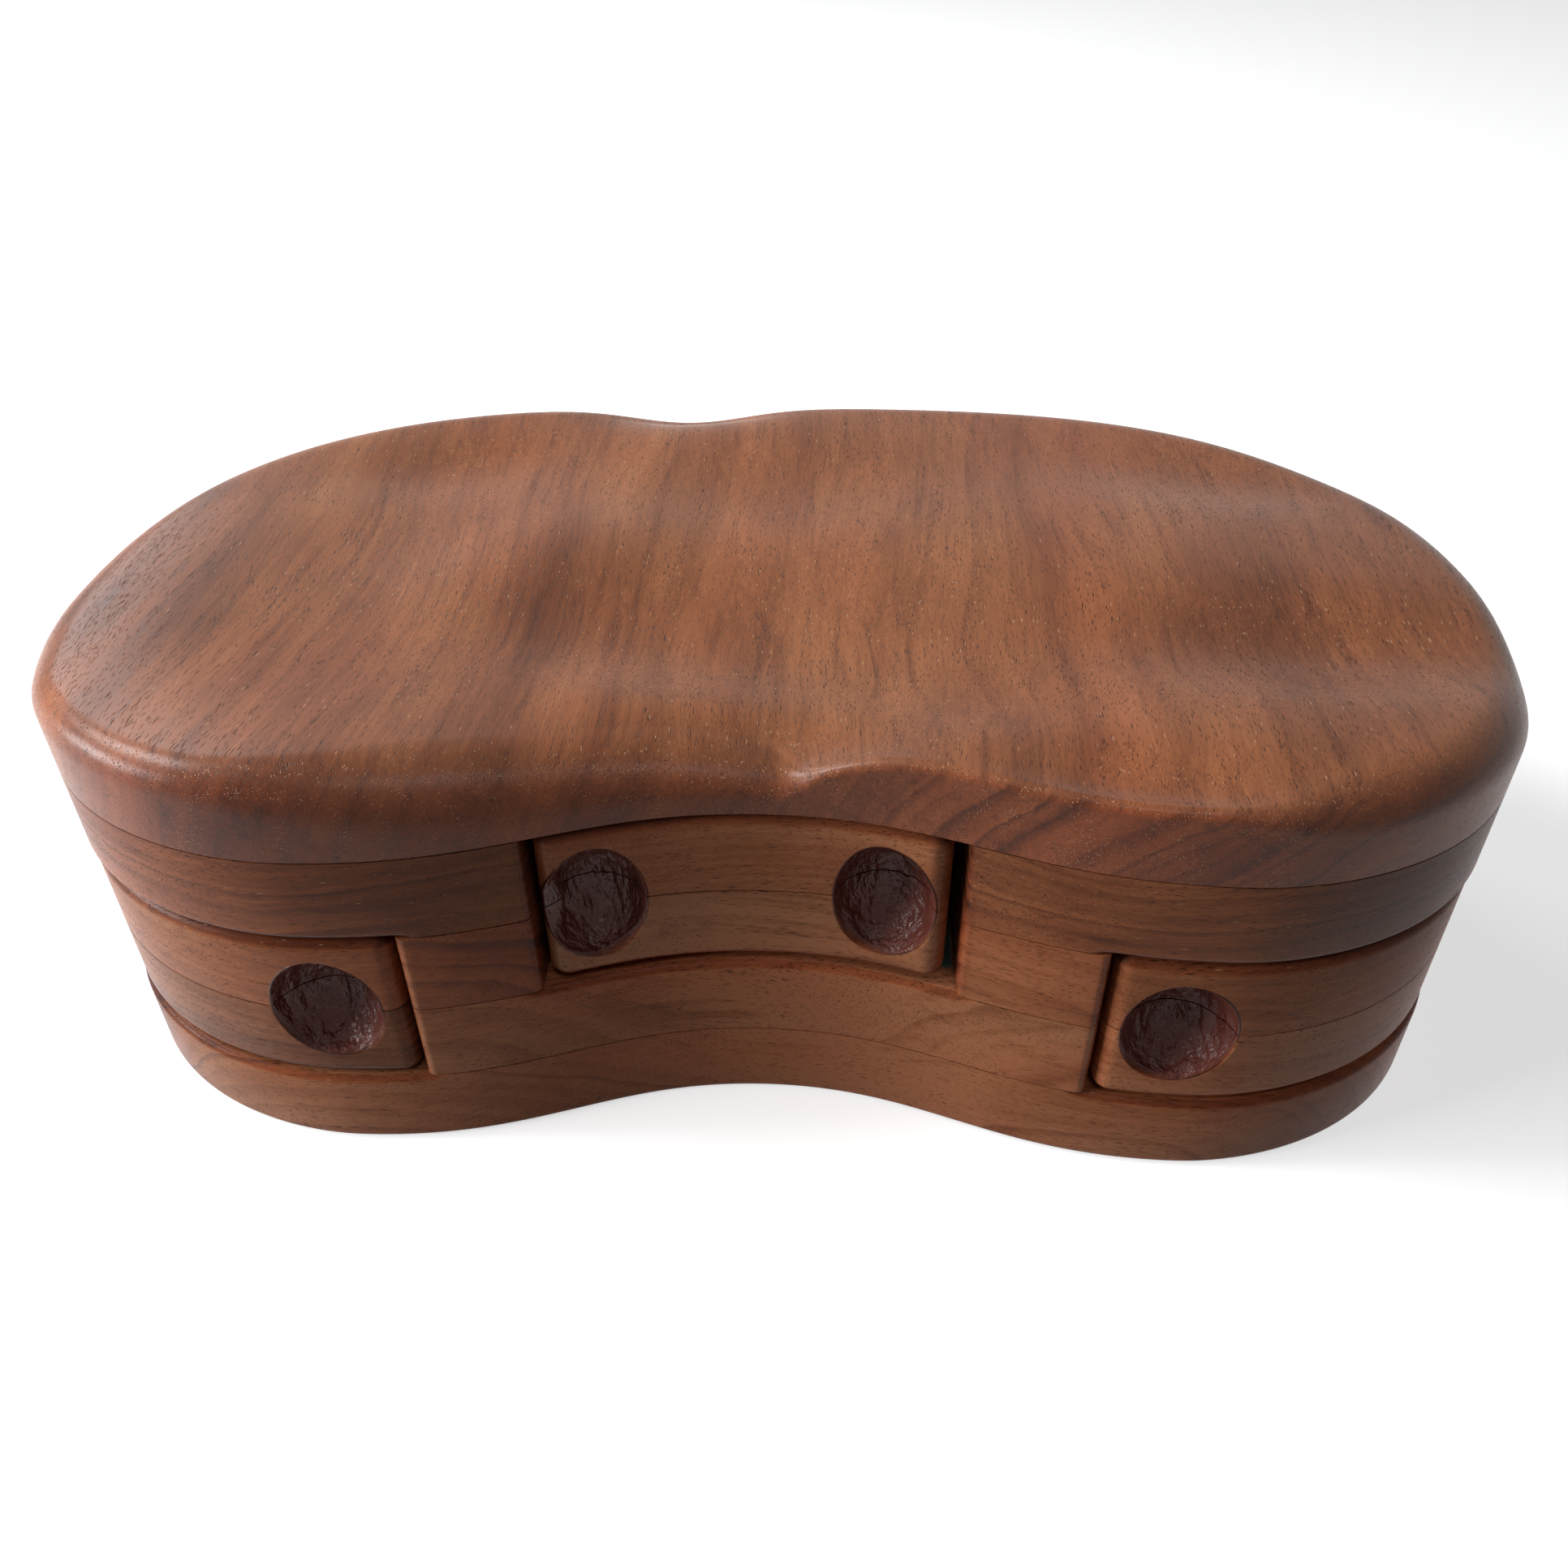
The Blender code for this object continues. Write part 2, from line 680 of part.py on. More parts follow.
def carved_top(mat):
    """The top board: upright sides, a rolled rim, and a face that dips and swells."""
    plan = outline()
    rolls = [rim_roll(p) for p in plan]
    edge = inset(plan, rolls)
    rims = [face_height(p) for p in edge]
    drops = [min(r, z - UPPER_TOP - RIM_LIP) for r, z in zip(rolls, rims)]
    middle = Vector((0.0, 0.0))
    bm = bmesh.new()
    rings = [[bm.verts.new((p.x, p.y, UPPER_TOP)) for p in plan]]
    for k in range(RIM_ROLL_STEPS + 1):
        angle = math.pi / 2 * k / RIM_ROLL_STEPS
        out = inset(plan, [r * (1 - math.cos(angle)) for r in rolls])
        rings.append([bm.verts.new((p.x, p.y, z - d * (1 - math.sin(angle))))
                      for p, d, z in zip(out, drops, rims)])
    for share in FACE_RING_SHARES:
        ring = [middle.lerp(p, share) for p in edge]
        rings.append([bm.verts.new((p.x, p.y, face_height(p))) for p in ring])
    peak = bm.verts.new((middle.x, middle.y, face_height(middle)))
    count = len(plan)
    for low, high in zip(rings, rings[1:]):
        for i in range(count):
            j = (i + 1) % count
            bm.faces.new((low[i], low[j], high[j], high[i]))
    for i in range(count):
        bm.faces.new((rings[-1][i], rings[-1][(i + 1) % count], peak))
    bm.faces.new(list(reversed(rings[0])))
    bmesh.ops.triangulate(bm, faces=[f for f in bm.faces if len(f.verts) == 4])
    return add("carved_top_board", bm, mat)


def pin_holes(board, side, centre, low, high):
    hole = cylinder(board.name + "_" + side + "_hole", centre, PIN_DIAMETER / 2 + PIN_FIT, low, high)
    cut(board, as_cutter(hole))


def carcass(mats):
    """The five fixed boards, the two hinge pins and the felt under the centre drawer."""
    whole = outline()
    base = eased_board("base_board", whole, 0, BASE_TOP - GLUE_LINE, beside_side_drawers, everywhere, mats[0])
    eased_board("lower_core_board", core_plan(False), BASE_TOP, LOWER_TOP - GLUE_LINE,
                along_well, nowhere, mats[1])
    prism("middle_core_board", core_plan(True), LOWER_TOP, MIDDLE_TOP - GLUE_LINE, mats[2])
    upper = eased_board("upper_core_board", roof_plan(), MIDDLE_TOP, UPPER_TOP - GLUE_LINE,
                        nowhere, beside_side_drawers, mats[3])
    carved_top(mats[4])
    for side, sign in (("left", -1), ("right", 1)):
        centre = Vector((sign * pivot().x, pivot().y))
        foot = BASE_TOP - GLUE_LINE - PIN_SINK
        head = MIDDLE_TOP + PIN_SINK
        pin_holes(base, side, centre, foot, BASE_TOP + OVERRUN)
        pin_holes(upper, side, centre, MIDDLE_TOP - OVERRUN, head)
        cylinder(side + "_pivot_pin", centre, PIN_DIAMETER / 2, foot + PIN_FIT, head - PIN_FIT, mats[5])
    prism("well_felt", well_floor(), LOWER_TOP, LOWER_TOP + WELL_FELT, mats[6])


def well_floor():
    """The felt's outline: a little inside the well's walls, and set back from the front."""
    line = front_line(WELL_FELT_SETBACK)
    left = WELL_LEFT + LINING_FIT
    right = WELL_RIGHT - LINING_FIT
    back = WELL_BACK - LINING_FIT
    face = stretch(line, crossing(line, lambda p: p.x - left), crossing(line, lambda p: p.x - right))
    paths = [face, straight(face[-1], (right, back)), straight((right, back), (left, back)),
             straight((left, back), face[0])]
    return rounded(paths, [0, WELL_CORNER, WELL_CORNER, 0])


def main():
    clear_scene()
    base = material("walnut_base", (0.125, 0.052, 0.030), 0.42)
    lower = material("walnut_lower_core", (0.135, 0.056, 0.031), 0.42)
    middle = material("walnut_middle_core", (0.130, 0.055, 0.032), 0.42)
    upper = material("walnut_upper_core", (0.110, 0.047, 0.029), 0.42)
    top = material("walnut_top", (0.185, 0.075, 0.038), 0.38)
    drawer_low = material("walnut_drawer_lower", (0.105, 0.050, 0.034), 0.42)
    drawer_high = material("walnut_drawer_upper", (0.150, 0.062, 0.036), 0.42)
    panel = material("walnut_panel", (0.120, 0.055, 0.033), 0.50)
    pin = material("steel_pin", (0.55, 0.55, 0.54), 0.35, 1.0)
    felt = material("green_felt", (0.020, 0.060, 0.035), 0.95)
    carcass([base, lower, middle, upper, top, pin, felt])
    drawer_mats = [drawer_low, drawer_high, panel, felt]
    centre_drawer(drawer_mats)
    side_drawer("left", drawer_mats)
    side_drawer("right", drawer_mats)


main()
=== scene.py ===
# Looks of the kidney-shaped walnut jewellery box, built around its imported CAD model.
# Metres, +Z up, the front faces -Y. Fine meshes that follow the CAD model's own formulas stand for
# its boards, drawer rings and felts, and each board gets its own walnut.
import math
from bisect import bisect_left

import bmesh
import bpy
from mathutils import Matrix, Vector, noise
from mathutils.geometry import delaunay_2d_cdt, tessellate_polygon


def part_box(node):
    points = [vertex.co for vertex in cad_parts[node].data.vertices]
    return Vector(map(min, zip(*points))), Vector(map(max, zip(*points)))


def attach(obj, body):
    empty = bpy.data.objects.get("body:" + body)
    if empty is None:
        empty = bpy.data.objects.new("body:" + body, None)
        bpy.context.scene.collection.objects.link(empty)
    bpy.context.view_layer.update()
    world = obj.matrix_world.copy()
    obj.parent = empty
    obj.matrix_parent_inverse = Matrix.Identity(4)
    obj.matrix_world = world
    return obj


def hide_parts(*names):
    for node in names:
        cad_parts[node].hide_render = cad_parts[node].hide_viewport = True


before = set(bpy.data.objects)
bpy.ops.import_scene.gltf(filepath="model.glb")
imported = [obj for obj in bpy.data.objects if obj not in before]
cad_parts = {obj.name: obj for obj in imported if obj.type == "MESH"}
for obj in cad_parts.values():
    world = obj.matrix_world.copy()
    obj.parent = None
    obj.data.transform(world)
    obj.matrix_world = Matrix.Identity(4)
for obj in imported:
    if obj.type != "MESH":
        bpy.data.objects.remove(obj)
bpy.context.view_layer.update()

# Outline of the box from above, as the CAD model has it
LENGTH = 0.2838
DEPTH = 0.1550
OUTLINE_SHARES = (
    (0.000, 0.101), (0.238, 0.101), (0.314, 0.000), (0.579, 0.000),
    (0.732, 0.000), (1.000, 0.091), (1.000, 0.379),
    (1.000, 1.000), (0.416, 1.000), (0.000, 1.000),
)
STEPS_PER_CURVE = 60
POINT_SPACING = 0.0012
ARC_STEP = math.radians(9)
CLOSE_POINTS = 0.00012

# Levels of the boards, from the frame
BASE_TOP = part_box("lower_core_board")[0].z
LOWER_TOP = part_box("middle_core_board")[0].z
MIDDLE_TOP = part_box("upper_core_board")[0].z
UPPER_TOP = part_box("carved_top_board")[0].z
GLUE_LINE = BASE_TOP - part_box("base_board")[1].z

# Carved top. A roll's share grows over the first two places along the front and fades over the next
# two, and last comes the change. A hollow is its middle, its two reaches, its turn and its depth.
TOP_THICKNESS = 0.01905
RIM_HEIGHT = UPPER_TOP + TOP_THICKNESS
RIM_ROLL = 0.0085
RIM_ROLL_STEPS = 12
RIM_LIP = 0.0022
FACE_RINGS = 64
ROLL_SHARES = (
    (-0.99, -0.93, -0.70, -0.55, -0.30),
    (-0.60, -0.40, -0.12, 0.04, 0.40),
    (-0.02, 0.08, 0.52, 0.74, -0.78),
)
CARVING_DEPTH = 0.0062
HOLLOW_STEEPNESS = 1.2
CREST_ROUNDING = 0.0006
HOLLOW_SHARES = (
    (-0.57, -0.20, 0.22, 0.63, -28, 0.58),
    (0.74, -0.38, 0.33, 0.22, -3, 0.84),
    (-0.09, 1.13, 0.20, 0.19, 25, 2.72),
    (-0.08, 0.41, 0.41, 0.33, 7, 0.77),
    (-0.10, -0.40, 0.56, 0.60, -16, 1.72),
    (0.01, -0.84, 0.19, 0.21, -4, 2.46),
    (-0.37, 0.04, 0.31, 0.32, 32, -0.74),
    (0.21, -0.90, 0.50, 0.22, -23, -1.44),
    (-0.53, 0.54, 0.24, 0.20, 14, 0.57),
    (0.67, 0.49, 0.25, 0.23, -13, 0.50),
    (0.36, -0.93, 0.30, 0.15, -6, 1.23),
    (0.06, -0.90, 0.12, 0.12, 4, -1.68),
)

# Faces that meet at a smaller angle than this, in degrees, look like one smooth face
PLAIN_SMOOTH = 40
TOP_SMOOTH = 60

# Well and centre drawer
WELL_WIDTH = 0.0785
WELL_REACH = 0.1195
WELL_SHIFT = -0.0027
WELL_CORNER = 0.0050
WELL_FELT_SETBACK = 0.0060
FELT_CORNER = 0.0010
CENTRE_SIDE_GAP = 0.0017
CENTRE_SIT = -0.0007
CENTRE_BACK_GAP = 0.0010

# End drawers
LEFT_SEAM = 0.0660
RIGHT_SEAM = 0.0624
SWING_GAP = 0.0010
EDGE_RAMP = 0.0040
INNER_CORNER = 0.0100
HINGE_SHARE = 0.253
HINGE_STEPS = 100
PIN_INSET = 0.0092
HEEL_RADIUS = 0.0118
HEEL_TURN = math.radians(16)
HEEL_STEPS = 10
BORE_RADIUS = 0.0034
PIN_HOLE_RADIUS = 0.0033
HOLE_STEPS = 32
BOSS_REACH = 0.0110

# Every drawer
FACE_SETBACK = 0.0005
DRAWER_EDGE = 0.0027
CORNER_EXTRA = 0.0008
EDGE_STEPS = 7
OPENING_EDGE = 0.0018
FRONT_WALL = 0.0140
SIDE_WALL = 0.0080
POCKET_CORNER = 0.0090
POCKET_EDGE = 0.0012
PANEL_REBATE = 0.0035
PANEL_FIT = 0.0003
LINING_FIT = 0.0004

# Felts
FELT_GRID = 0.0025
FELT_EDGE_SHARE = 0.45
FELT_NAP = 0.00008
NAP_SCALE = 160

# Finger scoops
SCOOP_DEPTH = 0.0090
SCOOP_STANDOFF = 0.0020
CENTRE_SCOOP_HEIGHT = 0.0265
SCOOP_RIM = 0.00022
SCOOP_MARGIN = 0.0022
CENTRE_SCOOP_WIDTH = 0.0192
CENTRE_SCOOP_SPACING = 0.0530
CENTRE_SCOOP_SHIFT = -0.0009
SIDE_SCOOP_WIDTH = 0.0212
SIDE_SCOOP_HEIGHT = 0.0250
LEFT_SCOOP = 0.0818
RIGHT_SCOOP = 0.0767
SCOOP_RING_SHARES = (1.12, 1.07, 1.04, 1.022, 1.010, 1.000, 0.990, 0.978, 0.962, 0.94, 0.91, 0.875, 0.835,
                     0.79, 0.74, 0.69, 0.64, 0.58, 0.52, 0.46, 0.40, 0.33, 0.26, 0.18, 0.09)
SCOOP_TURNS = 56
FRONT_SLOPE = 0.7
ROW_SHARE = 1.1
SCOOP_UNEVEN = 0.02
SCOOP_CLEARANCE = 0.06
RIPPLE_SPACING = 0.0017
RIPPLE_HEIGHT = 0.00026
RIPPLE_WANDER = 5
RIPPLE_FADE = (0.80, 0.97)
RIPPLE_PATCH = (-0.1, 0.5)
RIPPLE_SIDE = 90
LUMP_HEIGHT = 0.0002
LUMP_SCALE = 420

HALF_LENGTH = LENGTH / 2
HALF_DEPTH = DEPTH / 2
WELL_LEFT = WELL_SHIFT - WELL_WIDTH / 2
WELL_RIGHT = WELL_SHIFT + WELL_WIDTH / 2
WELL_BACK = WELL_REACH - HALF_DEPTH
EDGE_CORNER = DRAWER_EDGE + CORNER_EXTRA

# Camera, fitted to the photograph: place, and the directions of its view and of its right side
CAMERA_PLACE = (0.01145, -0.24120, 0.23145)
CAMERA_AHEAD = (-0.03846, 0.79513, -0.60522)
CAMERA_RIGHT = (0.99904, 0.04333, -0.00655)
LENS_MM = 30.745
SENSOR_MM = 36.0

CAMERA_SHIFT = (0.0041, -0.0342)
CAMERA_NEAR = 0.01

# Lights: name, place, width and height, watts and colour
LIGHTS = (
    ("room", (0.15, -0.62, 1.25), (0.40, 0.30), 1.9, (0.92, 0.95, 1.0)),
    ("window", (-1.33, -0.33, 0.43), (0.60, 0.34), 19.0, (0.98, 0.99, 1.0)),
    ("window_above", (-1.00, 0.08, 1.05), (0.50, 0.42), 18.5, (0.97, 0.98, 1.0)),
    ("window_behind", (-0.90, 0.95, 0.85), (0.50, 0.40), 5.5, (0.97, 0.98, 1.0)),
)
LIGHT_AIM = (0.0, 0.0, 0.05)
WORLD_LIGHT = 0.010
WORLD_TINT = (0.95, 0.97, 1.0)
WHITE = (1.0, 1.0, 1.0)
FLOOR_SEEN = 0.80
FLOOR_BOUNCE = 0.14
FLOOR_GLOW = 0.62
FLOOR_REACH = 3.0
FLOOR_DROP = 0.0002


# Plans: the same curves as the CAD model's, with points closer together

def bezier(p0, p1, p2, p3, steps):
    points = []
    for k in range(steps):
        u = k / steps
        v = 1 - u
        points.append(p0 * v ** 3 + p1 * (3 * u * v * v) + p2 * (3 * u * u * v) + p3 * u ** 3)
    return points


def control_points():
    return [Vector((sx * HALF_LENGTH, sy * DEPTH - HALF_DEPTH)) for sx, sy in OUTLINE_SHARES]


def at(points, place):
    """The point at a place on a line: its whole part counts points, and the rest is a share of a step."""
    k = min(int(place), len(points) - 2)
    return points[k].lerp(points[k + 1], place - k)


def lengths_along(points):
    lengths = [0.0]
    for a, b in zip(points, points[1:]):
        lengths.append(lengths[-1] + (b - a).length)
    return lengths


def place_along(lengths, length):
    """The place on a line that lies so far along it."""
    k = min(max(bisect_left(lengths, length) - 1, 0), len(lengths) - 2)
    return k + (length - lengths[k]) / (lengths[k + 1] - lengths[k])


def resample(points, spacing):
    lengths = lengths_along(points)
    count = max(1, round(lengths[-1] / spacing))
    return [at(points, place_along(lengths, lengths[-1] * i / count)) for i in range(count + 1)]


def right_half():
    """The outline's right half, from the middle of the front to the middle of the back."""
    c = control_points()
    points = []
    for first in (0, 3, 6):
        points += bezier(*c[first:first + 4], STEPS_PER_CURVE)
    return resample(points + [c[9]], POINT_SPACING)


HALF = right_half()


def mirror(points):
    return [Vector((-p.x, p.y)) for p in reversed(points)]


def normals(points, closed=True):
    out = []
    count = len(points)
    for i in range(count):
        before = points[i - 1] if closed or i else points[0]
        after = points[(i + 1) % count] if closed or i < count - 1 else points[-1]
        run = (after - before).normalized()
        out.append(Vector((run.y, -run.x)))
    return out


def inset(points, distance, closed=True):
    if not isinstance(distance, (list, tuple)):
        distance = [distance] * len(points)
    return [p - n * d for p, n, d in zip(points, normals(points, closed), distance)]


def crossing(points, test):
    for i in range(len(points) - 1):
        a = test(points[i])
        b = test(points[i + 1])
        if (a < 0) != (b < 0):
            return i + a / (a - b)
    raise ValueError("the line does not cross")


def crossing_x(points, x):
    return crossing(points, lambda p: p.x - x)


def stretch(points, start, end):
    return [at(points, start)] + points[int(start) + 1:math.ceil(end)] + [at(points, end)]


def toward(angle):
    return Vector((math.cos(angle), math.sin(angle)))


def angle_of(run):
    return math.atan2(run.y, run.x)


def arc(centre, radius, start, end, steps):
    return [centre + toward(start + (end - start) * k / steps) * radius for k in range(steps + 1)]


def meet(a, b, c, d):
    """Where two straight lines cross, as shares of each, or None."""
    r = b - a
    s = d - c
    cross = r.cross(s)
    if cross == 0:
        return None
    t = (c - a).cross(s) / cross
    u = (c - a).cross(r) / cross
    return (t, u) if 0 <= t <= 1 and 0 <= u <= 1 else None


def fillet(path_a, path_b, radius):
    """Round the corner where one path ends and the next begins."""
    run_a = path_a[-1] - path_a[-2]
    run_b = path_b[1] - path_b[0]
    side = 1 if run_a.cross(run_b) > 0 else -1
    off_a = inset(path_a, radius * side, closed=False)
    off_b = inset(path_b, radius * side, closed=False)
    for i in range(len(off_a) - 2, -1, -1):
        for j in range(len(off_b) - 1):
            hit = meet(off_a[i], off_a[i + 1], off_b[j], off_b[j + 1])
            if hit:
                centre = off_a[i].lerp(off_a[i + 1], hit[0])
                on_a = path_a[i].lerp(path_a[i + 1], hit[0])
                on_b = path_b[j].lerp(path_b[j + 1], hit[1])
                start = angle_of(on_a - centre)
                turn = (on_a - centre).angle_signed(on_b - centre)
                steps = max(2, round(abs(turn) / ARC_STEP))
                bend = arc(centre, radius, start, start - turn, steps)
                return path_a[:i + 1] + [on_a], bend[1:-1], [on_b] + path_b[j + 1:]
    raise ValueError("no room for the rounded corner")


def rounded(paths, radii):
    """Join paths into one closed line, each joint rounded by its radius (0 leaves it sharp)."""
    paths = [list(path) for path in paths]
    bends = []
    for k, radius in enumerate(radii):
        after = (k + 1) % len(paths)
        bend = []
        if radius:
            paths[k], bend, paths[after] = fillet(paths[k], paths[after], radius)
        bends.append(bend)
    out = []
    for path, bend in zip(paths, bends):
        for p in path + bend:
            if not out or (p - out[-1]).length > CLOSE_POINTS:
                out.append(p)
    while (out[0] - out[-1]).length <= CLOSE_POINTS:
        out.pop()
    return out


def straight(a, b):
    a = Vector(a)
    b = Vector(b)
    count = max(2, round((b - a).length / (2 * POINT_SPACING)))
    return [a.lerp(b, k / count) for k in range(count + 1)]


def outline():
    return HALF + mirror(HALF)[1:-1]


def front_line(setback):
    line = inset(mirror(HALF)[:-1] + HALF, setback, closed=False)
    return [p for p in line if p.y < 0]


def pivot():
    c = control_points()[6:10]
    points = bezier(*c, HINGE_STEPS)
    i = round(HINGE_SHARE * HINGE_STEPS)
    run = (points[i + 1] - points[i - 1]).normalized()
    return points[i] - Vector((run.y, -run.x)) * PIN_INSET


PIVOT = pivot()


def heel_place(line, radius):
    nearest = min(range(len(line)), key=lambda i: (line[i] - PIVOT).length)
    return nearest + crossing(line[nearest:], lambda p: (p - PIVOT).length - radius)


def heel_angle():
    line = inset(HALF, FACE_SETBACK, closed=False)
    return angle_of(at(line, heel_place(line, HEEL_RADIUS)) - PIVOT) + HEEL_TURN


def rear_corner(x, radius):
    along = toward(heel_angle())
    return Vector((x, PIVOT.y + (radius - (x - PIVOT.x) * along.x) / along.y))


def side_drawer_plan(seam):
    line = inset(HALF, FACE_SETBACK, closed=False)
    inner = seam + SWING_GAP
    corner = rear_corner(inner, HEEL_RADIUS)
    face = stretch(line, crossing_x(line, inner), heel_place(line, HEEL_RADIUS))
    heel = arc(PIVOT, HEEL_RADIUS, angle_of(face[-1] - PIVOT), heel_angle(), HEEL_STEPS)
    paths = [face, heel, straight(heel[-1], corner), straight(corner, face[0])]
    return rounded(paths, [EDGE_CORNER, 0, INNER_CORNER, EDGE_CORNER])


def side_pocket_plan(seam):
    line = inset(HALF, FACE_SETBACK + FRONT_WALL, closed=False)
    inner = seam + SWING_GAP + SIDE_WALL
    corner = rear_corner(inner, HEEL_RADIUS - SIDE_WALL)
    reach = PIVOT - corner
    run = toward(angle_of(reach) - math.asin(BOSS_REACH / reach.length))
    outside = stretch(line, crossing_x(line, inner), len(line) - 1)
    face = stretch(outside, 0, crossing(outside, lambda p: (p - corner).cross(run)))
    return rounded([face, straight(face[-1], corner), straight(corner, face[0])], [POCKET_CORNER] * 3)


def well_walls(front_left, front_right):
    back_left = Vector((WELL_LEFT, WELL_BACK))
    back_right = Vector((WELL_RIGHT, WELL_BACK))
    return [straight(front_left, back_left), straight(back_left, back_right),
            straight(back_right, front_right)]


def core_plan(with_well):
    radius = HEEL_RADIUS + SWING_GAP
    tail = stretch(HALF, heel_place(HALF, radius), len(HALF) - 1)
    socket = arc(PIVOT, radius, heel_angle(), angle_of(tail[0] - PIVOT), HEEL_STEPS)
    rim = INNER_CORNER + SWING_GAP
    front_right = stretch(HALF, 0, crossing_x(HALF, RIGHT_SEAM))
    front_left = mirror(stretch(HALF, 0, crossing_x(HALF, LEFT_SEAM)))
    right = rear_corner(RIGHT_SEAM, radius)
    left = mirror([rear_corner(LEFT_SEAM, radius)])[0]
    front = front_left[:-1] + front_right
    paths = [straight(front_right[-1], right), straight(right, socket[0]), socket, tail[:-1] + mirror(tail),
             mirror(socket), straight(mirror(socket)[-1], left), straight(left, front_left[0])]
    radii = [rim, 0, 0, 0, 0, rim, OPENING_EDGE]
    if not with_well:
        return rounded(paths + [front], radii + [OPENING_EDGE])
    to_well = stretch(front, 0, crossing_x(front, WELL_LEFT))
    from_well = stretch(front, crossing_x(front, WELL_RIGHT), len(front) - 1)
    paths += [to_well] + well_walls(to_well[-1], from_well[0]) + [from_well]
    return rounded(paths, radii + [OPENING_EDGE, WELL_CORNER, WELL_CORNER, OPENING_EDGE, OPENING_EDGE])


def roof_plan():
    right = stretch(HALF, crossing_x(HALF, WELL_RIGHT), len(HALF) - 1)
    left = mirror(stretch(HALF, crossing_x(HALF, -WELL_LEFT), len(HALF) - 1))
    paths = [right[:-1] + left] + well_walls(left[-1], right[0])
    return rounded(paths, [OPENING_EDGE, WELL_CORNER, WELL_CORNER, OPENING_EDGE])


def behind_front(setback, left, right, back, corners):
    """A plan with three straight sides and the box's curved front, set back by so much."""
    line = front_line(setback)
    face = stretch(line, crossing_x(line, left), crossing_x(line, right))
    paths = [face, straight(face[-1], (right, back)), straight((right, back), (left, back)),
             straight((left, back), face[0])]
    return rounded(paths, corners)


def centre_drawer_plan(front_wall, other_walls, corners):
    middle = WELL_SHIFT + CENTRE_SIT
    reach = WELL_WIDTH / 2 - CENTRE_SIDE_GAP - other_walls
    back = WELL_BACK - CENTRE_BACK_GAP - other_walls
    return behind_front(FACE_SETBACK + front_wall, middle - reach, middle + reach, back, corners)


def well_floor():
    return behind_front(WELL_FELT_SETBACK, WELL_LEFT + LINING_FIT, WELL_RIGHT - LINING_FIT,
                        WELL_BACK - LINING_FIT, [FELT_CORNER, WELL_CORNER, WELL_CORNER, FELT_CORNER])


def hole_plan(centre, radius):
    return arc(centre, radius, 0, math.tau, HOLE_STEPS)[:-1]


# Solids

def smooth_step(value, low, high):
    t = min(max((value - low) / (high - low), 0.0), 1.0)
    return t * t * (3 - 2 * t)


def plateau(value, rise, top, fall, end):
    return smooth_step(value, rise, top) * (1 - smooth_step(value, fall, end))


def ring_of(bm, points, z):
    return [bm.verts.new((p.x, p.y, z)) for p in points]


def skin(bm, low, high):
    """Faces between two rings of equally many points."""
    count = len(low)
    for i in range(count):
        j = (i + 1) % count
        bm.faces.new((low[i], low[j], high[j], high[i]))


def skins(bm, rings):
    for low, high in zip(rings, rings[1:]):
        skin(bm, low, high)


def fill(bm, points, verts, border):
    """Triangles between points of a flat plan, inside its border, which is the first so many of them."""
    result = delaunay_2d_cdt(points, [], [list(range(border))], 1, 1e-9)
    for face in result[2]:
        bm.faces.new([verts[result[3][i][0]] for i in face])


def cap(bm, outer, holes=()):
    """A flat face inside a ring and round its holes."""
    rings = [outer] + list(holes)
    verts = [v for ring in rings for v in ring]
    for tri in tessellate_polygon([[v.co for v in ring] for ring in rings]):
        bm.faces.new([verts[i] for i in tri])


def add_object(name, data):
    obj = bpy.data.objects.new(name, data)
    bpy.context.scene.collection.objects.link(obj)
    return obj


def piece(name, bm, body, node_name, mat, smooth_angle=PLAIN_SMOOTH):
    bm.normal_update()
    bmesh.ops.recalc_face_normals(bm, faces=bm.faces)
    mesh = bpy.data.meshes.new(name)
    bm.to_mesh(mesh)
    bm.free()
    mesh.shade_smooth()
    mesh.set_sharp_from_angle(angle=math.radians(smooth_angle))
    mesh.materials.append(mat)
    obj = add_object(name, mesh)
    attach(obj, body)
    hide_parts(node_name)
    return obj


def edge_rings(bm, plan, edge, start, up=1, shares=None):
    """Rings of a quarter-round edge that starts at a height and goes up or down from there.

    shares says how much of the rounding there is at each point of the plan.
    """
    rings = []
    for k in range(EDGE_STEPS + 1):
        angle = math.pi / 2 * k / EDGE_STEPS
        into = edge * (1 - math.cos(angle))
        ring = inset(plan, [into * s for s in shares] if shares else into)
        rings.append(ring_of(bm, ring, start + up * edge * math.sin(angle)))
    return rings


def board(name, plan, low, high, low_mask, high_mask, holes=()):
    """A board with its outer edges rounded where the masks say, and blind holes for the pins."""
    bm = bmesh.new()
    low_shares = [low_mask(p) for p in plan]
    high_shares = [high_mask(p) for p in plan]
    rings = edge_rings(bm, plan, OPENING_EDGE, low + OPENING_EDGE, -1, low_shares)[::-1]
    rings += edge_rings(bm, plan, OPENING_EDGE, high - OPENING_EDGE, 1, high_shares)
    skins(bm, rings)
    for end, level in ((rings[0], low), (rings[-1], high)):
        mouths = []
        for centre, mouth, floor in holes:
            if mouth == level:
                top, bottom = through(bm, hole_plan(centre, PIN_HOLE_RADIUS), mouth, floor)
                cap(bm, bottom)
                mouths.append(top)
        cap(bm, end, mouths)
    node_name = name + "_board"
    piece(node_name + "_wood", bm, "carcass", node_name, wood(name))


def beside_side_drawers(p):
    seam = RIGHT_SEAM if p.x > 0 else LEFT_SEAM
    heel = PIVOT.y + HEEL_RADIUS
    return smooth_step(abs(p.x), seam - EDGE_RAMP, seam) * (1 - smooth_step(p.y, heel - EDGE_RAMP, heel))


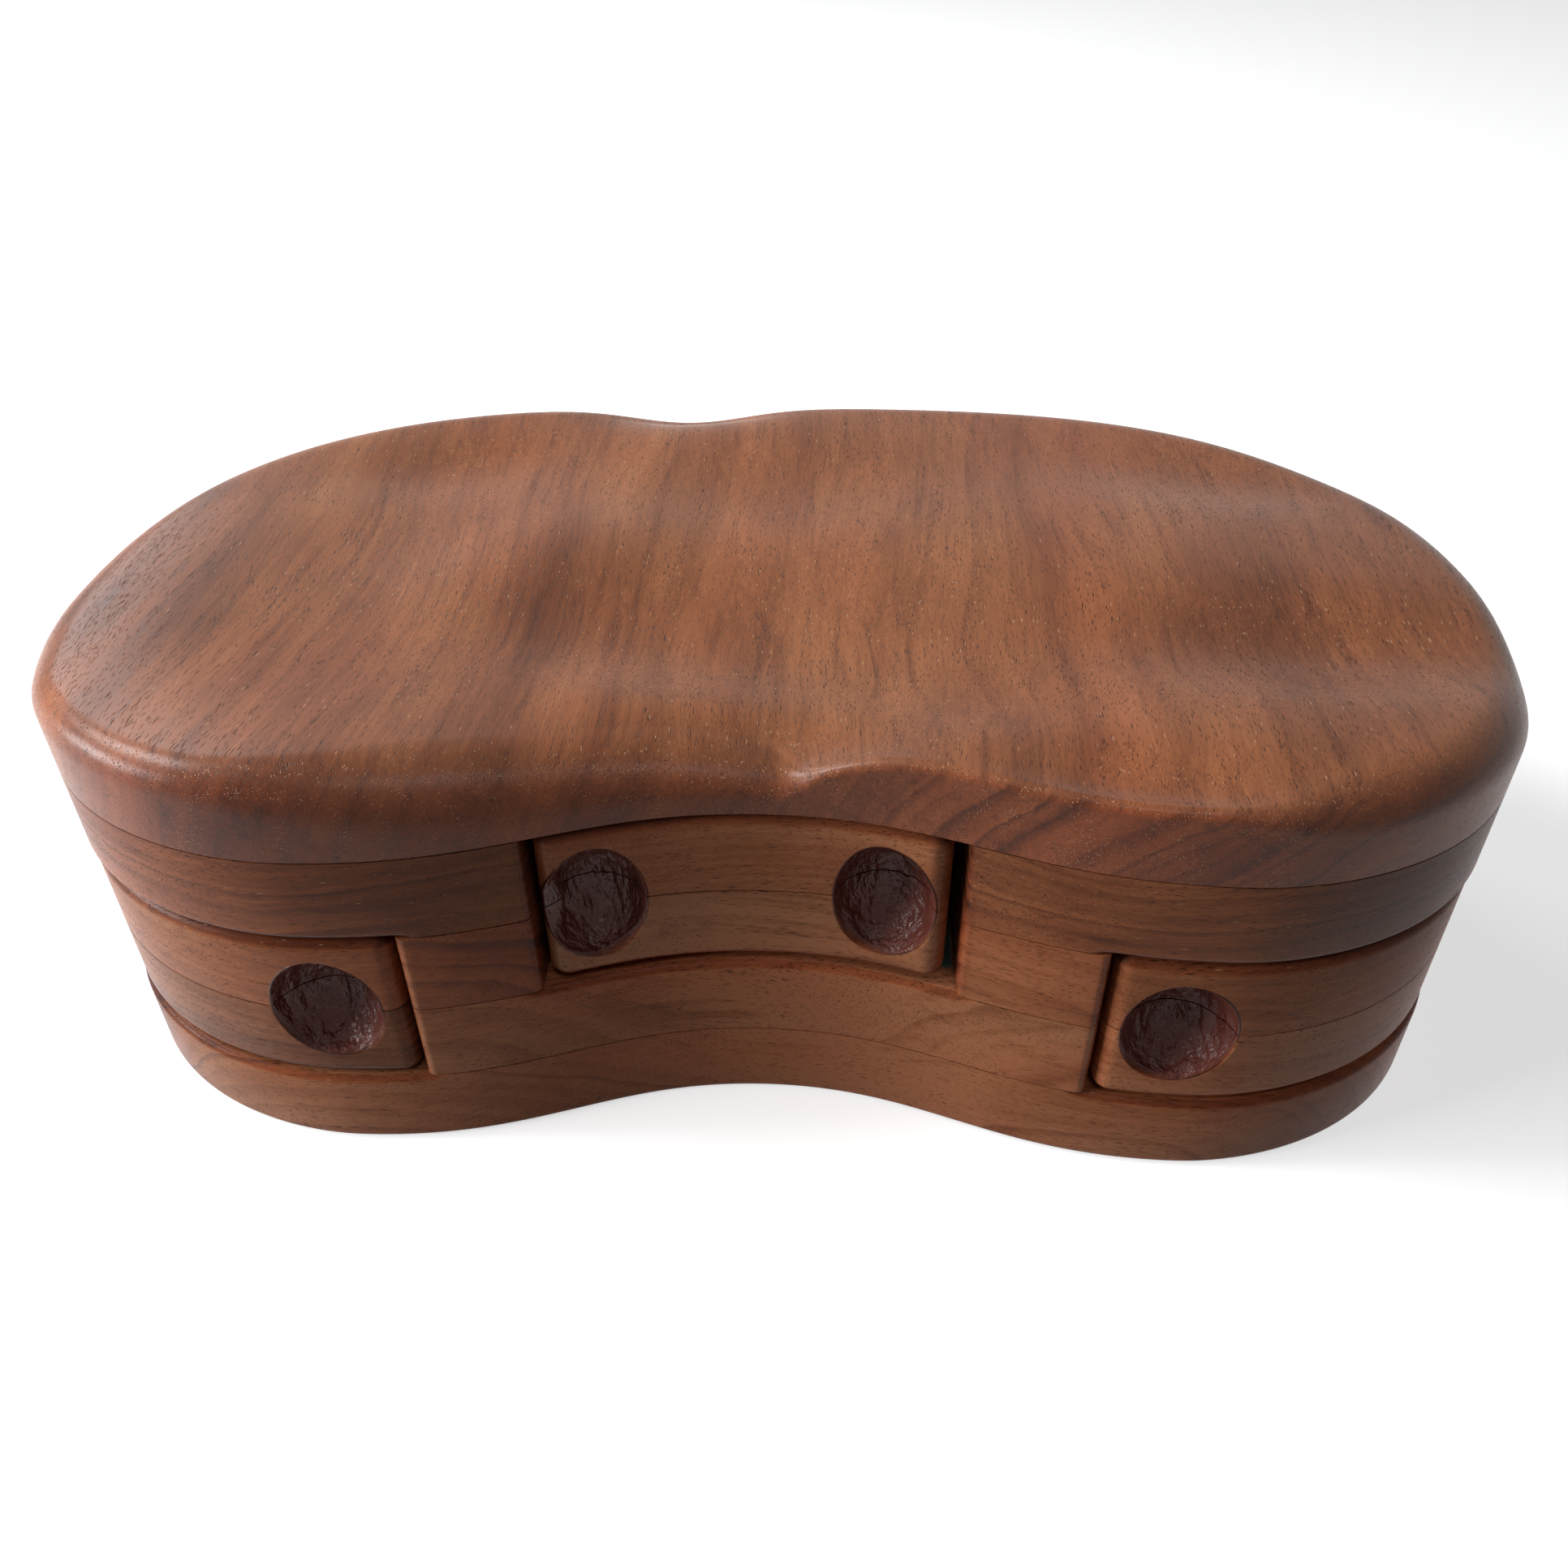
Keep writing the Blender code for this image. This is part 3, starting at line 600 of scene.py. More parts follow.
def along_well(p):
    if p.y > 0:
        return 0
    return plateau(p.x, WELL_LEFT - EDGE_RAMP, WELL_LEFT, WELL_RIGHT, WELL_RIGHT + EDGE_RAMP)


def nowhere(p):
    return 0


def everywhere(p):
    return 1


def face_height(p):
    """Height of the carved face at a point of the plan."""
    carved = 0
    for x, y, reach_x, reach_y, turn, depth in HOLLOW_SHARES:
        dx = p.x - x * HALF_LENGTH
        dy = p.y - y * HALF_DEPTH
        c = math.cos(math.radians(turn))
        s = math.sin(math.radians(turn))
        along = (c * dx + s * dy) / (reach_x * HALF_LENGTH)
        across = (c * dy - s * dx) / (reach_y * HALF_DEPTH)
        carved += depth * CARVING_DEPTH * math.exp(-HOLLOW_STEEPNESS * (along ** 2 + across ** 2))
    # the carving softly stops at the face of the uncut board
    return RIM_HEIGHT - (carved + math.sqrt(carved ** 2 + 4 * CREST_ROUNDING ** 2)) / 2


def rim_roll(p):
    if p.y > 0:
        return RIM_ROLL
    more = 0
    for *span, change in ROLL_SHARES:
        more += change * plateau(p.x / HALF_LENGTH, *span)
    return RIM_ROLL * (1 + more)


def carved_top():
    plan = outline()
    rolls = [rim_roll(p) for p in plan]
    edge = inset(plan, rolls)
    rims = [face_height(p) for p in edge]
    drops = [min(r, z - UPPER_TOP - RIM_LIP) for r, z in zip(rolls, rims)]
    middle = Vector((0, 0))
    bm = bmesh.new()
    rings = [ring_of(bm, plan, UPPER_TOP)]
    for k in range(RIM_ROLL_STEPS + 1):
        angle = math.pi / 2 * k / RIM_ROLL_STEPS
        out = inset(plan, [r * (1 - math.cos(angle)) for r in rolls])
        rings.append([bm.verts.new((p.x, p.y, z - d * (1 - math.sin(angle))))
                      for p, d, z in zip(out, drops, rims)])
    for k in range(1, FACE_RINGS):
        ring = [middle.lerp(p, 1 - k / FACE_RINGS) for p in edge]
        rings.append([bm.verts.new((p.x, p.y, face_height(p))) for p in ring])
    peak = bm.verts.new((middle.x, middle.y, face_height(middle)))
    skins(bm, rings)
    count = len(plan)
    for i in range(count):
        bm.faces.new((rings[-1][i], rings[-1][(i + 1) % count], peak))
    cap(bm, rings[0])
    piece("carved_top", bm, "carcass", "carved_top_board", wood("top"), TOP_SMOOTH)


# Drawers

class Scoop:
    """A finger scoop in a drawer's face: a half egg cut into it, with a crisp rim and tool marks."""

    def __init__(self, x, width, height, ripple_turn, seed):
        self.x = x
        self.half_width = width / 2
        self.half_height = height / 2
        self.ripple_turn = math.radians(ripple_turn)
        self.seed = seed

    def depth(self, share, across, up):
        """How deep the cut is at a share of the rim's reach, which lies so far across and up."""
        deep = SCOOP_DEPTH + SCOOP_STANDOFF
        swell = 1 / math.sqrt(1 - (SCOOP_STANDOFF / deep) ** 2)
        if share < 1:
            cut = deep * math.sqrt(1 - (share / swell) ** 2) - SCOOP_STANDOFF
        else:
            slope = deep / swell ** 2 / math.sqrt(1 - 1 / swell ** 2)
            cut = -slope * (share - 1)
        cut = (cut + math.sqrt(cut * cut + 4 * SCOOP_RIM ** 2)) / 2
        inside = 1 - smooth_step(share, *RIPPLE_FADE)
        spot = Vector((across * LUMP_SCALE, up * LUMP_SCALE, self.seed))
        run = across * math.cos(self.ripple_turn) + up * math.sin(self.ripple_turn)
        wave = math.sin(math.tau * run / RIPPLE_SPACING + RIPPLE_WANDER * noise.noise(spot * 0.55))
        patch = noise.noise(spot * 0.6 + Vector((7, 3, 1))) + across * RIPPLE_SIDE
        ripples = RIPPLE_HEIGHT * wave * smooth_step(patch, *RIPPLE_PATCH)
        return cut + inside * (ripples + LUMP_HEIGHT * noise.noise(spot * 0.45))


def scoop_patch(bm, plan, span, scoop, seam_z, sign, reach, edge_ring):
    """The stretch of a drawer's wall that holds half a scoop. Returns its points along the seam.

    span is the first and last column of the plan, seam_z and sign say where the wall begins and which
    way it goes, reach is how far, and edge_ring holds the wall's points at that far end.
    """
    first, last = span
    columns = plan[first:last + 1]
    outs = normals(plan)[first:last + 1]
    runs = lengths_along(columns)
    nearest = front_column(plan, scoop.x)
    middle = runs[nearest - first] + scoop.x - plan[nearest].x

    def spot(along, up, depth):
        place = place_along(runs, along)
        p = at(columns, place) - at(outs, place).normalized() * depth
        return bm.verts.new((p.x, p.y, seam_z + sign * up))

    rings = []
    flats = []
    for share in SCOOP_RING_SHARES:
        ring = []
        flat = []
        for k in range(SCOOP_TURNS + 1):
            angle = math.pi * k / SCOOP_TURNS
            size = share * (1 + SCOOP_UNEVEN * math.sin(3 * angle * sign + scoop.seed))
            across = -math.cos(angle) * scoop.half_width * size
            up = math.sin(angle) * scoop.half_height * size
            flat.append(Vector((middle + across, up)))
            ring.append(spot(middle + across, up, scoop.depth(share, across, sign * up)))
        rings.append(ring)
        flats.append(flat)
    hub = spot(middle, 0, scoop.depth(0, 0, 0))
    for a, b in zip(rings, rings[1:]):
        for i in range(SCOOP_TURNS):
            bm.faces.new((a[i], a[i + 1], b[i + 1], b[i]))
    for i in range(SCOOP_TURNS):
        bm.faces.new((rings[-1][i], rings[-1][i + 1], hub))

    # the wall round the half egg, inside a border of the seam, the rim, the seam again and the far edge
    left = [run for run in runs if run < flats[0][0].x - POINT_SPACING / 3]
    right = [run for run in runs if run > flats[0][-1].x + POINT_SPACING / 3]
    left_verts = [spot(run, 0, 0) for run in left]
    right_verts = [spot(run, 0, 0) for run in right]
    points = [Vector((run, 0)) for run in left] + flats[0] + [Vector((run, 0)) for run in right]
    points += [Vector((run, reach)) for run in reversed(runs)]
    verts = left_verts + rings[0] + right_verts + edge_ring[first:last + 1][::-1]
    border = len(points)
    rows = max(2, round(reach / (POINT_SPACING * ROW_SHARE)))
    for row in range(1, rows):
        up = reach * row / rows
        for run in runs[1:-1]:
            far_out = math.hypot((run - middle) / scoop.half_width, up / scoop.half_height)
            if far_out > SCOOP_RING_SHARES[0] + SCOOP_CLEARANCE:
                points.append(Vector((run, up)))
                verts.append(spot(run, up, 0))
    fill(bm, points, verts, border)
    inner_left = [ring[0] for ring in rings]
    inner_right = [ring[-1] for ring in reversed(rings)]
    return left_verts + inner_left + [hub] + inner_right + right_verts


def drawer_wall(bm, plan, seam_z, far_z, scoops):
    """A ring's outer wall from the glue line to its rounded far edge. Returns its first and last ring."""
    start = max(range(len(plan)), key=lambda i: plan[i].y)
    plan = plan[start:] + plan[:start]
    sign = 1 if far_z > seam_z else -1
    flat = abs(far_z - seam_z) - DRAWER_EDGE
    rings = edge_rings(bm, plan, DRAWER_EDGE, seam_z + sign * flat, sign)
    skins(bm, rings)
    patches = {}
    for scoop in scoops:
        reach = scoop.half_width * SCOOP_RING_SHARES[0] + SCOOP_MARGIN
        middle = front_column(plan, scoop.x)
        patches[walk(plan, middle, -reach)] = (walk(plan, middle, reach), scoop)
    seam = []
    column = 0
    while column < len(plan):
        last = column
        if column in patches:
            last, scoop = patches[column]
            verts = scoop_patch(bm, plan, (column, last), scoop, seam_z, sign, flat, rings[0])
        else:
            verts = ring_of(bm, [plan[column]], seam_z)
        seam.append((column, last, verts))
        column = last + 1
    for (_, last, verts), (first, _, next_verts) in zip(seam, seam[1:] + seam[:1]):
        bm.faces.new((verts[-1], next_verts[0], rings[0][first], rings[0][last]))
    return [v for _, _, verts in seam for v in verts], rings[-1]


def front_column(plan, x):
    """The point of a plan nearest to x, among those on its front."""
    front = []
    for i in range(len(plan)):
        run = plan[(i + 1) % len(plan)] - plan[i - 1]
        if run.x > FRONT_SLOPE * run.length:
            front.append(i)
    return min(front, key=lambda i: abs(plan[i].x - x))


def walk(plan, start, reach):
    """The point reached from a start after going so far along a plan."""
    step = 1 if reach > 0 else -1
    gone = 0
    i = start
    while gone < abs(reach):
        gone += (plan[i + step] - plan[i]).length
        i += step
    return i


def through(bm, plan, low, high):
    """A straight hole's wall, with its rings at both ends."""
    a = ring_of(bm, plan, low)
    b = ring_of(bm, plan, high)
    skin(bm, a, b)
    return a, b


def drawer_ring(drawer_name, half, plan, pocket, bores, seam_z, far_z, ledge, scoops, mat):
    """The lower or upper half of a drawer's walls, from the glue line to the far edge.

    The upper half has rounded edges inside, and the lower one a rebate for the bottom, up to the ledge.
    """
    bm = bmesh.new()
    seam, far_edge = drawer_wall(bm, plan, seam_z, far_z, scoops)
    if half == "upper":
        outward = [-1] * len(pocket)
        rings = [ring_of(bm, pocket, seam_z)]
        rings += edge_rings(bm, pocket, POCKET_EDGE, far_z - POCKET_EDGE, 1, outward)
        skins(bm, rings)
        near_mouth = rings[0]
        far_mouth = rings[-1]
    else:
        near_mouth, foot = through(bm, pocket, seam_z, ledge)
        shelf, far_mouth = through(bm, inset(pocket, -PANEL_REBATE), ledge, far_z)
        cap(bm, shelf, [foot])
    holes = [through(bm, bore, seam_z, far_z) for bore in bores]
    cap(bm, seam, [near_mouth] + [near for near, far in holes])
    cap(bm, far_edge, [far_mouth] + [far for near, far in holes])
    name = drawer_name + "_" + half + "_ring"
    piece(name + "_wood", bm, drawer_name, name, mat)


def felt_sheet(name, node_name, body, plan, mat):
    """A felt cut to a plan, with soft edges and a slightly uneven face."""
    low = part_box(node_name)[0].z
    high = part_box(node_name)[1].z
    edge = (high - low) * FELT_EDGE_SHARE
    bm = bmesh.new()
    rings = [ring_of(bm, plan, low)] + edge_rings(bm, plan, edge, high - edge)
    skins(bm, rings)
    cap(bm, rings[0])
    inner = [v.co.xy for v in rings[-1]]
    left = min(p.x for p in inner)
    front = min(p.y for p in inner)
    columns = int((max(p.x for p in inner) - left) / FELT_GRID)
    rows = int((max(p.y for p in inner) - front) / FELT_GRID)
    points = list(inner)
    verts = list(rings[-1])
    within = inset(plan, edge + FELT_GRID * 0.6)
    for i in range(columns + 1):
        for j in range(rows + 1):
            p = Vector((left + i * FELT_GRID, front + j * FELT_GRID))
            if holds(within, p):
                lift = FELT_NAP * (noise.noise(Vector((p.x * NAP_SCALE, p.y * NAP_SCALE, 3))) - 1)
                points.append(p)
                verts.append(bm.verts.new((p.x, p.y, high + lift)))
    fill(bm, points, verts, len(inner))
    obj = piece(name, bm, body, node_name, mat)
    plan_area(plan)


def plan_area(plan):
    return abs(sum(a.cross(b) for a, b in zip(plan, plan[1:] + plan[:1]))) / 2


def holds(plan, p):
    inside = False
    for a, b in zip(plan, plan[1:] + plan[:1]):
        if (a.y > p.y) != (b.y > p.y) and p.x < a.x + (p.y - a.y) / (b.y - a.y) * (b.x - a.x):
            inside = not inside
    return inside


# Materials

MM = 1000.0  # millimetres in a metre


class Signal:
    """What a material's nodes work out at each point. Sums of it are written like sums of numbers."""

    def __init__(self, socket):
        self.socket = socket

    def __add__(self, other):
        return maths("ADD", self, other)

    def __sub__(self, other):
        return maths("SUBTRACT", self, other)

    def __rsub__(self, other):
        return maths("SUBTRACT", other, self)

    def __mul__(self, other):
        return maths("MULTIPLY", self, other)

    def __truediv__(self, other):
        return maths("DIVIDE", self, other)

    __radd__ = __add__
    __rmul__ = __mul__


def node(tree, kind, **settings):
    made = tree.nodes.new(kind)
    for key, value in settings.items():
        setattr(made, key, value)
    return made


def feed(target, value):
    """Link a signal to an input, or set the input's value."""
    if isinstance(value, Signal):
        target.id_data.links.new(value.socket, target)
    else:
        target.default_value = value


def fed_node(kind, inputs, **settings):
    """A new node beside the signals among its inputs, which are given by place or by name."""
    tree = next(value.socket.id_data for value in inputs.values() if isinstance(value, Signal))
    made = node(tree, kind, **settings)
    for key, value in inputs.items():
        feed(made.inputs[key], value)
    return made


def maths(operation, *values, clamp=False):
    made = fed_node("ShaderNodeMath", dict(enumerate(values)), operation=operation, use_clamp=clamp)
    return Signal(made.outputs[0])


def vectors(operation, *values):
    made = fed_node("ShaderNodeVectorMath", dict(enumerate(values)), operation=operation)
    return Signal(made.outputs["Value" if operation in ("LENGTH", "DOT_PRODUCT") else 0])


def scaled(vector, factor):
    made = fed_node("ShaderNodeVectorMath", {0: vector, "Scale": factor}, operation="SCALE")
    return Signal(made.outputs[0])


def joined(x, y=0.0):
    return Signal(fed_node("ShaderNodeCombineXYZ", {0: x, 1: y}).outputs[0])


def remap(value, low, high, to_low=0.0, to_high=1.0, smooth=False):
    made = fed_node("ShaderNodeMapRange", dict(enumerate((value, low, high, to_low, to_high))),
                    clamp=True, interpolation_type="SMOOTHSTEP" if smooth else "LINEAR")
    return Signal(made.outputs[0])


def centred(value, strength):
    """A 0 to 1 value made to swing round 0, by so much."""
    return (value - 0.5) * strength


def drawn_out(where, share):
    """Places whose noise comes out longer from front to back: the smaller the share, the longer."""
    return vectors("MULTIPLY", where, (1.0, share, 1.0))


def clouds(where, share, scale, detail, rough, output="Fac"):
    """Noise from 0 to 1, drawn out by a share, with so many marks a millimetre."""
    inputs = {"Vector": drawn_out(where, share), "Scale": scale, "Detail": detail, "Roughness": rough}
    return Signal(fed_node("ShaderNodeTexNoise", inputs, noise_dimensions="3D").outputs[output])


def drift(where, layer, reach):
    """Noise that moves a place this way and that, across a range of reach."""
    away = vectors("SUBTRACT", clouds(where, *layer, "Color"), (0.5, 0.5, 0.5))
    return scaled(away, reach)


def ramp(value, stops):
    made = fed_node("ShaderNodeValToRGB", {0: value})
    band = made.color_ramp
    for element, (place, color) in zip(band.elements, (stops[0], stops[-1])):
        element.position = place
        element.color = (*color, 1)
    for place, color in stops[1:-1]:
        band.elements.new(place).color = (*color, 1)
    return Signal(made.outputs[0])


def blend(factor, under, over, mode="MIX"):
    inputs = {0: factor, 6: under, 7: (*over, 1)}
    made = fed_node("ShaderNodeMix", inputs, data_type="RGBA", blend_type=mode)
    return Signal(made.outputs[2])


def bump(height, strength, distance, under=None):
    inputs = {"Height": height, "Strength": strength, "Distance": distance}
    if under:
        inputs["Normal"] = under
    return Signal(fed_node("ShaderNodeBump", inputs).outputs[0])


def new_material(name):
    """A material and its shader."""
    mat = bpy.data.materials.new(name)
    mat.use_nodes = True
    return mat, mat.node_tree.nodes["Principled BSDF"]


def surface_of(mat):
    """The place in mm and the normal at each point of a surface."""
    coords = node(mat.node_tree, "ShaderNodeTexCoord").outputs
    return scaled(Signal(coords["Object"]), MM), Signal(coords["Normal"])


def finished(mat, shader, **values):
    """Feed the shader's inputs, each named with _ for a space."""
    for key, value in values.items():
        feed(shader.inputs[key.replace("_", " ")], value)
    return mat


WOOD_STOPS = (
    (0.00, (0.012, 0.0040, 0.0024)),
    (0.22, (0.052, 0.0160, 0.0078)),
    (0.45, (0.130, 0.0430, 0.0180)),
    (0.62, (0.205, 0.0720, 0.0300)),
    (0.80, (0.295, 0.1100, 0.0460)),
    (1.00, (0.400, 0.1680, 0.0800)),
)
FELT_STOPS = (
    (0.30, (0.006, 0.018, 0.012)),
    (0.50, (0.014, 0.045, 0.028)),
    (0.72, (0.030, 0.085, 0.052)),
)
STEEL_STOPS = (
    (0.30, (0.42, 0.41, 0.40)),
    (0.70, (0.60, 0.60, 0.59)),
)
PORE_COLOR = (0.018, 0.0065, 0.0040)
SPECK_COLOR = (0.62, 0.36, 0.20)
SPECK_COVER = 0.70
RED_TINT = (1.25, 0.74, 0.62)

# Walnut: the place in WOOD_STOPS that its colour starts from, and how far each thing moves it
WOOD_LEVEL = 0.64
BAND_SPREAD = 0.74
FIBRE_SPREAD = 0.36
MOTTLE_SPREAD = 0.44
RING_DARKNESS = 0.13
STREAK_DARKNESS = 0.10
END_GRAIN_DARKNESS = 0.07
END_BAND_SPREAD = 0.60
END_RING_DARKNESS = 0.20
EDGE_DARKNESS = 0.30
SCOOP_LEVEL = 0.34
SCOOP_SPREAD = 0.60
SCOOP_COLOR = (0.120, 0.032, 0.026)
SCOOP_COVER = 0.65
SCOOP_SHINE = 0.14
SCOOP_REACH_MM = 12.0
END_REDNESS = 0.35
FINE_COVER = 0.68
COARSE_COVER = 0.90
RING_UNEVENNESS = 3.0
ROUGHNESS = (0.28, 0.38)
PORE_ROUGHNESS = 0.30
HOLLOW_GLOSS = 0.04
SPECK_LUCK = 0.98
WANDER_MM = 22.0
QUIVER_MM = 2.6
SEED_STEPS = (37.0, 91.0, 53.0)

# Noise: the share that draws it out, marks per mm, detail and roughness
WANDER_NOISE = (0.45, 0.016, 2.0, 0.45)
QUIVER_NOISE = (0.20, 0.10, 2.0, 0.50)
YEAR_NOISE = (1.0, 0.14, 2.0, 0.50)
STRENGTH_NOISE = (1.0, 0.30, 1.0, 0.50)
BAND_NOISE = (1.0, 0.062, 3.0, 0.55)
FIBRE_NOISE = (0.035, 1.5, 3.0, 0.62)
MOTTLE_NOISE = (0.35, 0.085, 4.0, 0.55)
STREAK_NOISE = (0.045, 0.42, 2.0, 0.55)
RED_NOISE = (0.30, 0.026, 2.0, 0.50)
TEAR_NOISE = (1.0, 0.40, 3.0, 0.50)
FUZZ_NOISE = (1.0, 3.5, 4.0, 0.70)
MATTED_NOISE = (1.0, 0.25, 3.0, 0.60)
TURNING_NOISE = (1.0, 1.0, 3.0, 0.60)
STEEL_NOISE = (1.0, 0.30, 3.0, 0.60)
# Pores: their size and length in mm, and how much of its cell each fills
FINE_PORES = (0.25, 2.3, 0.38)
COARSE_PORES = (0.38, 4.2, 0.32)
FINE_CROWD = 0.42
COARSE_CROWD = 0.04
# Bumps: strength and height in metres
GRAIN_BUMP = (0.5, 0.00008)
TEAR_BUMP = (0.9, 0.0016)
FELT_BUMP = (0.8, 0.00025)
STEEL_BUMP = (0.3, 0.00003)

# Patches of painted shade and painted light on the boards, darker where they turn from the light and
# lighter
# where it falls on them: middle, reaches and strength, in mm
# painted shade in the top's hollow left of the middle, in its right dish, on its front and at its ends, and
# a lighter streak down the middle
TOP_PAINTED_SHADING = (
    (-46, -12, 22, 40, -0.13),
    (12, 10, 26, 90, 0.05),
    (92, -30, 34, 46, -0.07),
    (-132, -10, 46, 70, -0.12),
    (112, -10, 60, 80, -0.06),
    (-15, -62, 60, 16, -0.10),
    (-85, -82, 64, 20, -0.20),
    (66, -82, 60, 18, -0.08),
)
# painted shade at the upper core's two ends and on its front left of the well
UPPER_CORE_PAINTED_SHADING = (
    (112, -55, 44, 60, -0.24),
    (-62, -65, 34, 40, -0.14),
    (-135, -20, 40, 60, -0.10),
)
# painted shade at the base's left end, and painted light in the middle of its front
BASE_PAINTED_SHADING = (
    (-128, -30, 62, 75, -0.36),
    (14, -60, 60, 40, 0.20),
)
# Edges of the boards beside the centre drawer, painted dark and red, given in the same way: partly wear,
# and partly painted shade where they turn into the well
WELL_EDGE_WEAR_AND_SHADE = (
    (WELL_LEFT * MM, -62, 2.6, 12, 1),
    (WELL_RIGHT * MM, -62, 2.8, 14, 1),
)

# What walnut() is told of each board
WALNUTS = {
    "base": dict(heart=(-190, -60), seed=1.3, turn=84, level=0.29, redness=0.40, rings=1.6,
                 shine=0.07, painted_shading=BASE_PAINTED_SHADING),
    # the lower core's patch in the middle of its front is painted light, and the middle core's patch left
    # of the well is painted shade
    "lower_core": dict(heart=(-170, -20), seed=2.1, turn=96, level=0.29, redness=0.40, rings=1.7,
                       shine=0.08, painted_shading=((8, -60, 40, 40, 0.17),)),
    "middle_core": dict(heart=(-120, 0), seed=3.7, turn=68, level=0.21, redness=0.45, rings=1.3,
                        edge_wear_and_shade=WELL_EDGE_WEAR_AND_SHADE, painted_shading=((-50, -60, 24, 40, -0.16),)),
    "upper_core": dict(heart=(-60, -90), seed=4.4, turn=90, level=0.05, redness=0.30, rings=1.5,
                       edge_wear_and_shade=WELL_EDGE_WEAR_AND_SHADE, painted_shading=UPPER_CORE_PAINTED_SHADING),
    "top": dict(heart=(150, -12), seed=5.2, turn=0, level=0.05, redness=0.25, ring_width=4.2,
                rings=0.45, wear=0.17, shine=0.22, edges=0, painted_shading=TOP_PAINTED_SHADING),
    "panel": dict(heart=(0, -300), seed=7.7, turn=90, level=0, redness=0.30),
    "centre_lower": dict(heart=(-30, -110), seed=8.1, turn=88, level=0.31, redness=0.40),
    "centre_upper": dict(heart=(-40, -200), seed=9.3, turn=90, level=0.21, redness=0.50, ring_width=2.6),
    "left_lower": dict(heart=(-100, -90), seed=10.4, turn=80, level=-0.05, redness=0.10, shine=0.07),
    "left_upper": dict(heart=(-60, -160), seed=11.8, turn=84, level=0.16, redness=0.45),
    "right_lower": dict(heart=(-70, -130), seed=12.9, turn=92, level=0.34, redness=0.45, shine=0.06),
    "right_upper": dict(heart=(-60, -220), seed=13.5, turn=90, level=0.16, redness=0.35, shine=0.06),
}


def wood(name, scoops=()):
    return walnut(name + "_walnut", scoops=scoops, **WALNUTS[name])


def pores(where, size, length, width, density):
    """Marks drawn out along the grain, size by length in mm, in the share of places that density says.

    Returns the marks, and each one's own random number.
    """
    inputs = {"Vector": drawn_out(where, size / length), "Scale": 1 / size}
    cells = fed_node("ShaderNodeTexVoronoi", inputs, voronoi_dimensions="3D", feature="F1")
    chance = fed_node("ShaderNodeSeparateColor", {0: Signal(cells.outputs["Color"])}).outputs
    present = remap(density - Signal(chance[0]), -0.03, 0.03)
    mark = remap(Signal(cells.outputs["Distance"]), width, width / 2)
    return mark * present, Signal(chance[1])


def soft_patches(place, painted_shading):
    """Soft patches painted darker or lighter, for painted shade and light and for edges: each a middle, two
    reaches and a strength, in mm.
    """
    total = 0.0
    for x, y, reach_x, reach_y, strength in painted_shading:
        offset = vectors("SUBTRACT", place, (x, y, 0.0))
        offset = vectors("MULTIPLY", offset, (1 / reach_x, 1 / reach_y, 0.0))
        total = remap(vectors("LENGTH", offset), 0.15, 1.0, strength, 0.0, smooth=True) + total
    return total


def scooped(mm, scoops):
    """1 inside the finger scoops and 0 elsewhere.

    Each is its middle, its run along the face, the way out of the face, and its two half sizes, in mm.
    """
    total = 0.0
    for middle, run, out, half_width, half_height in scoops:
        local = vectors("SUBTRACT", mm, middle)
        across = vectors("DOT_PRODUCT", local, run / half_width)
        up = vectors("DOT_PRODUCT", local, Vector((0, 0, 1 / half_height)))
        inside = remap(vectors("LENGTH", joined(across, up)), 1.03, 0.99)
        depth = vectors("DOT_PRODUCT", local, -out)
        inside = inside * remap(depth, SCOOP_REACH_MM + 0.5, SCOOP_REACH_MM)
        total = maths("MAXIMUM", inside, total)
    return total


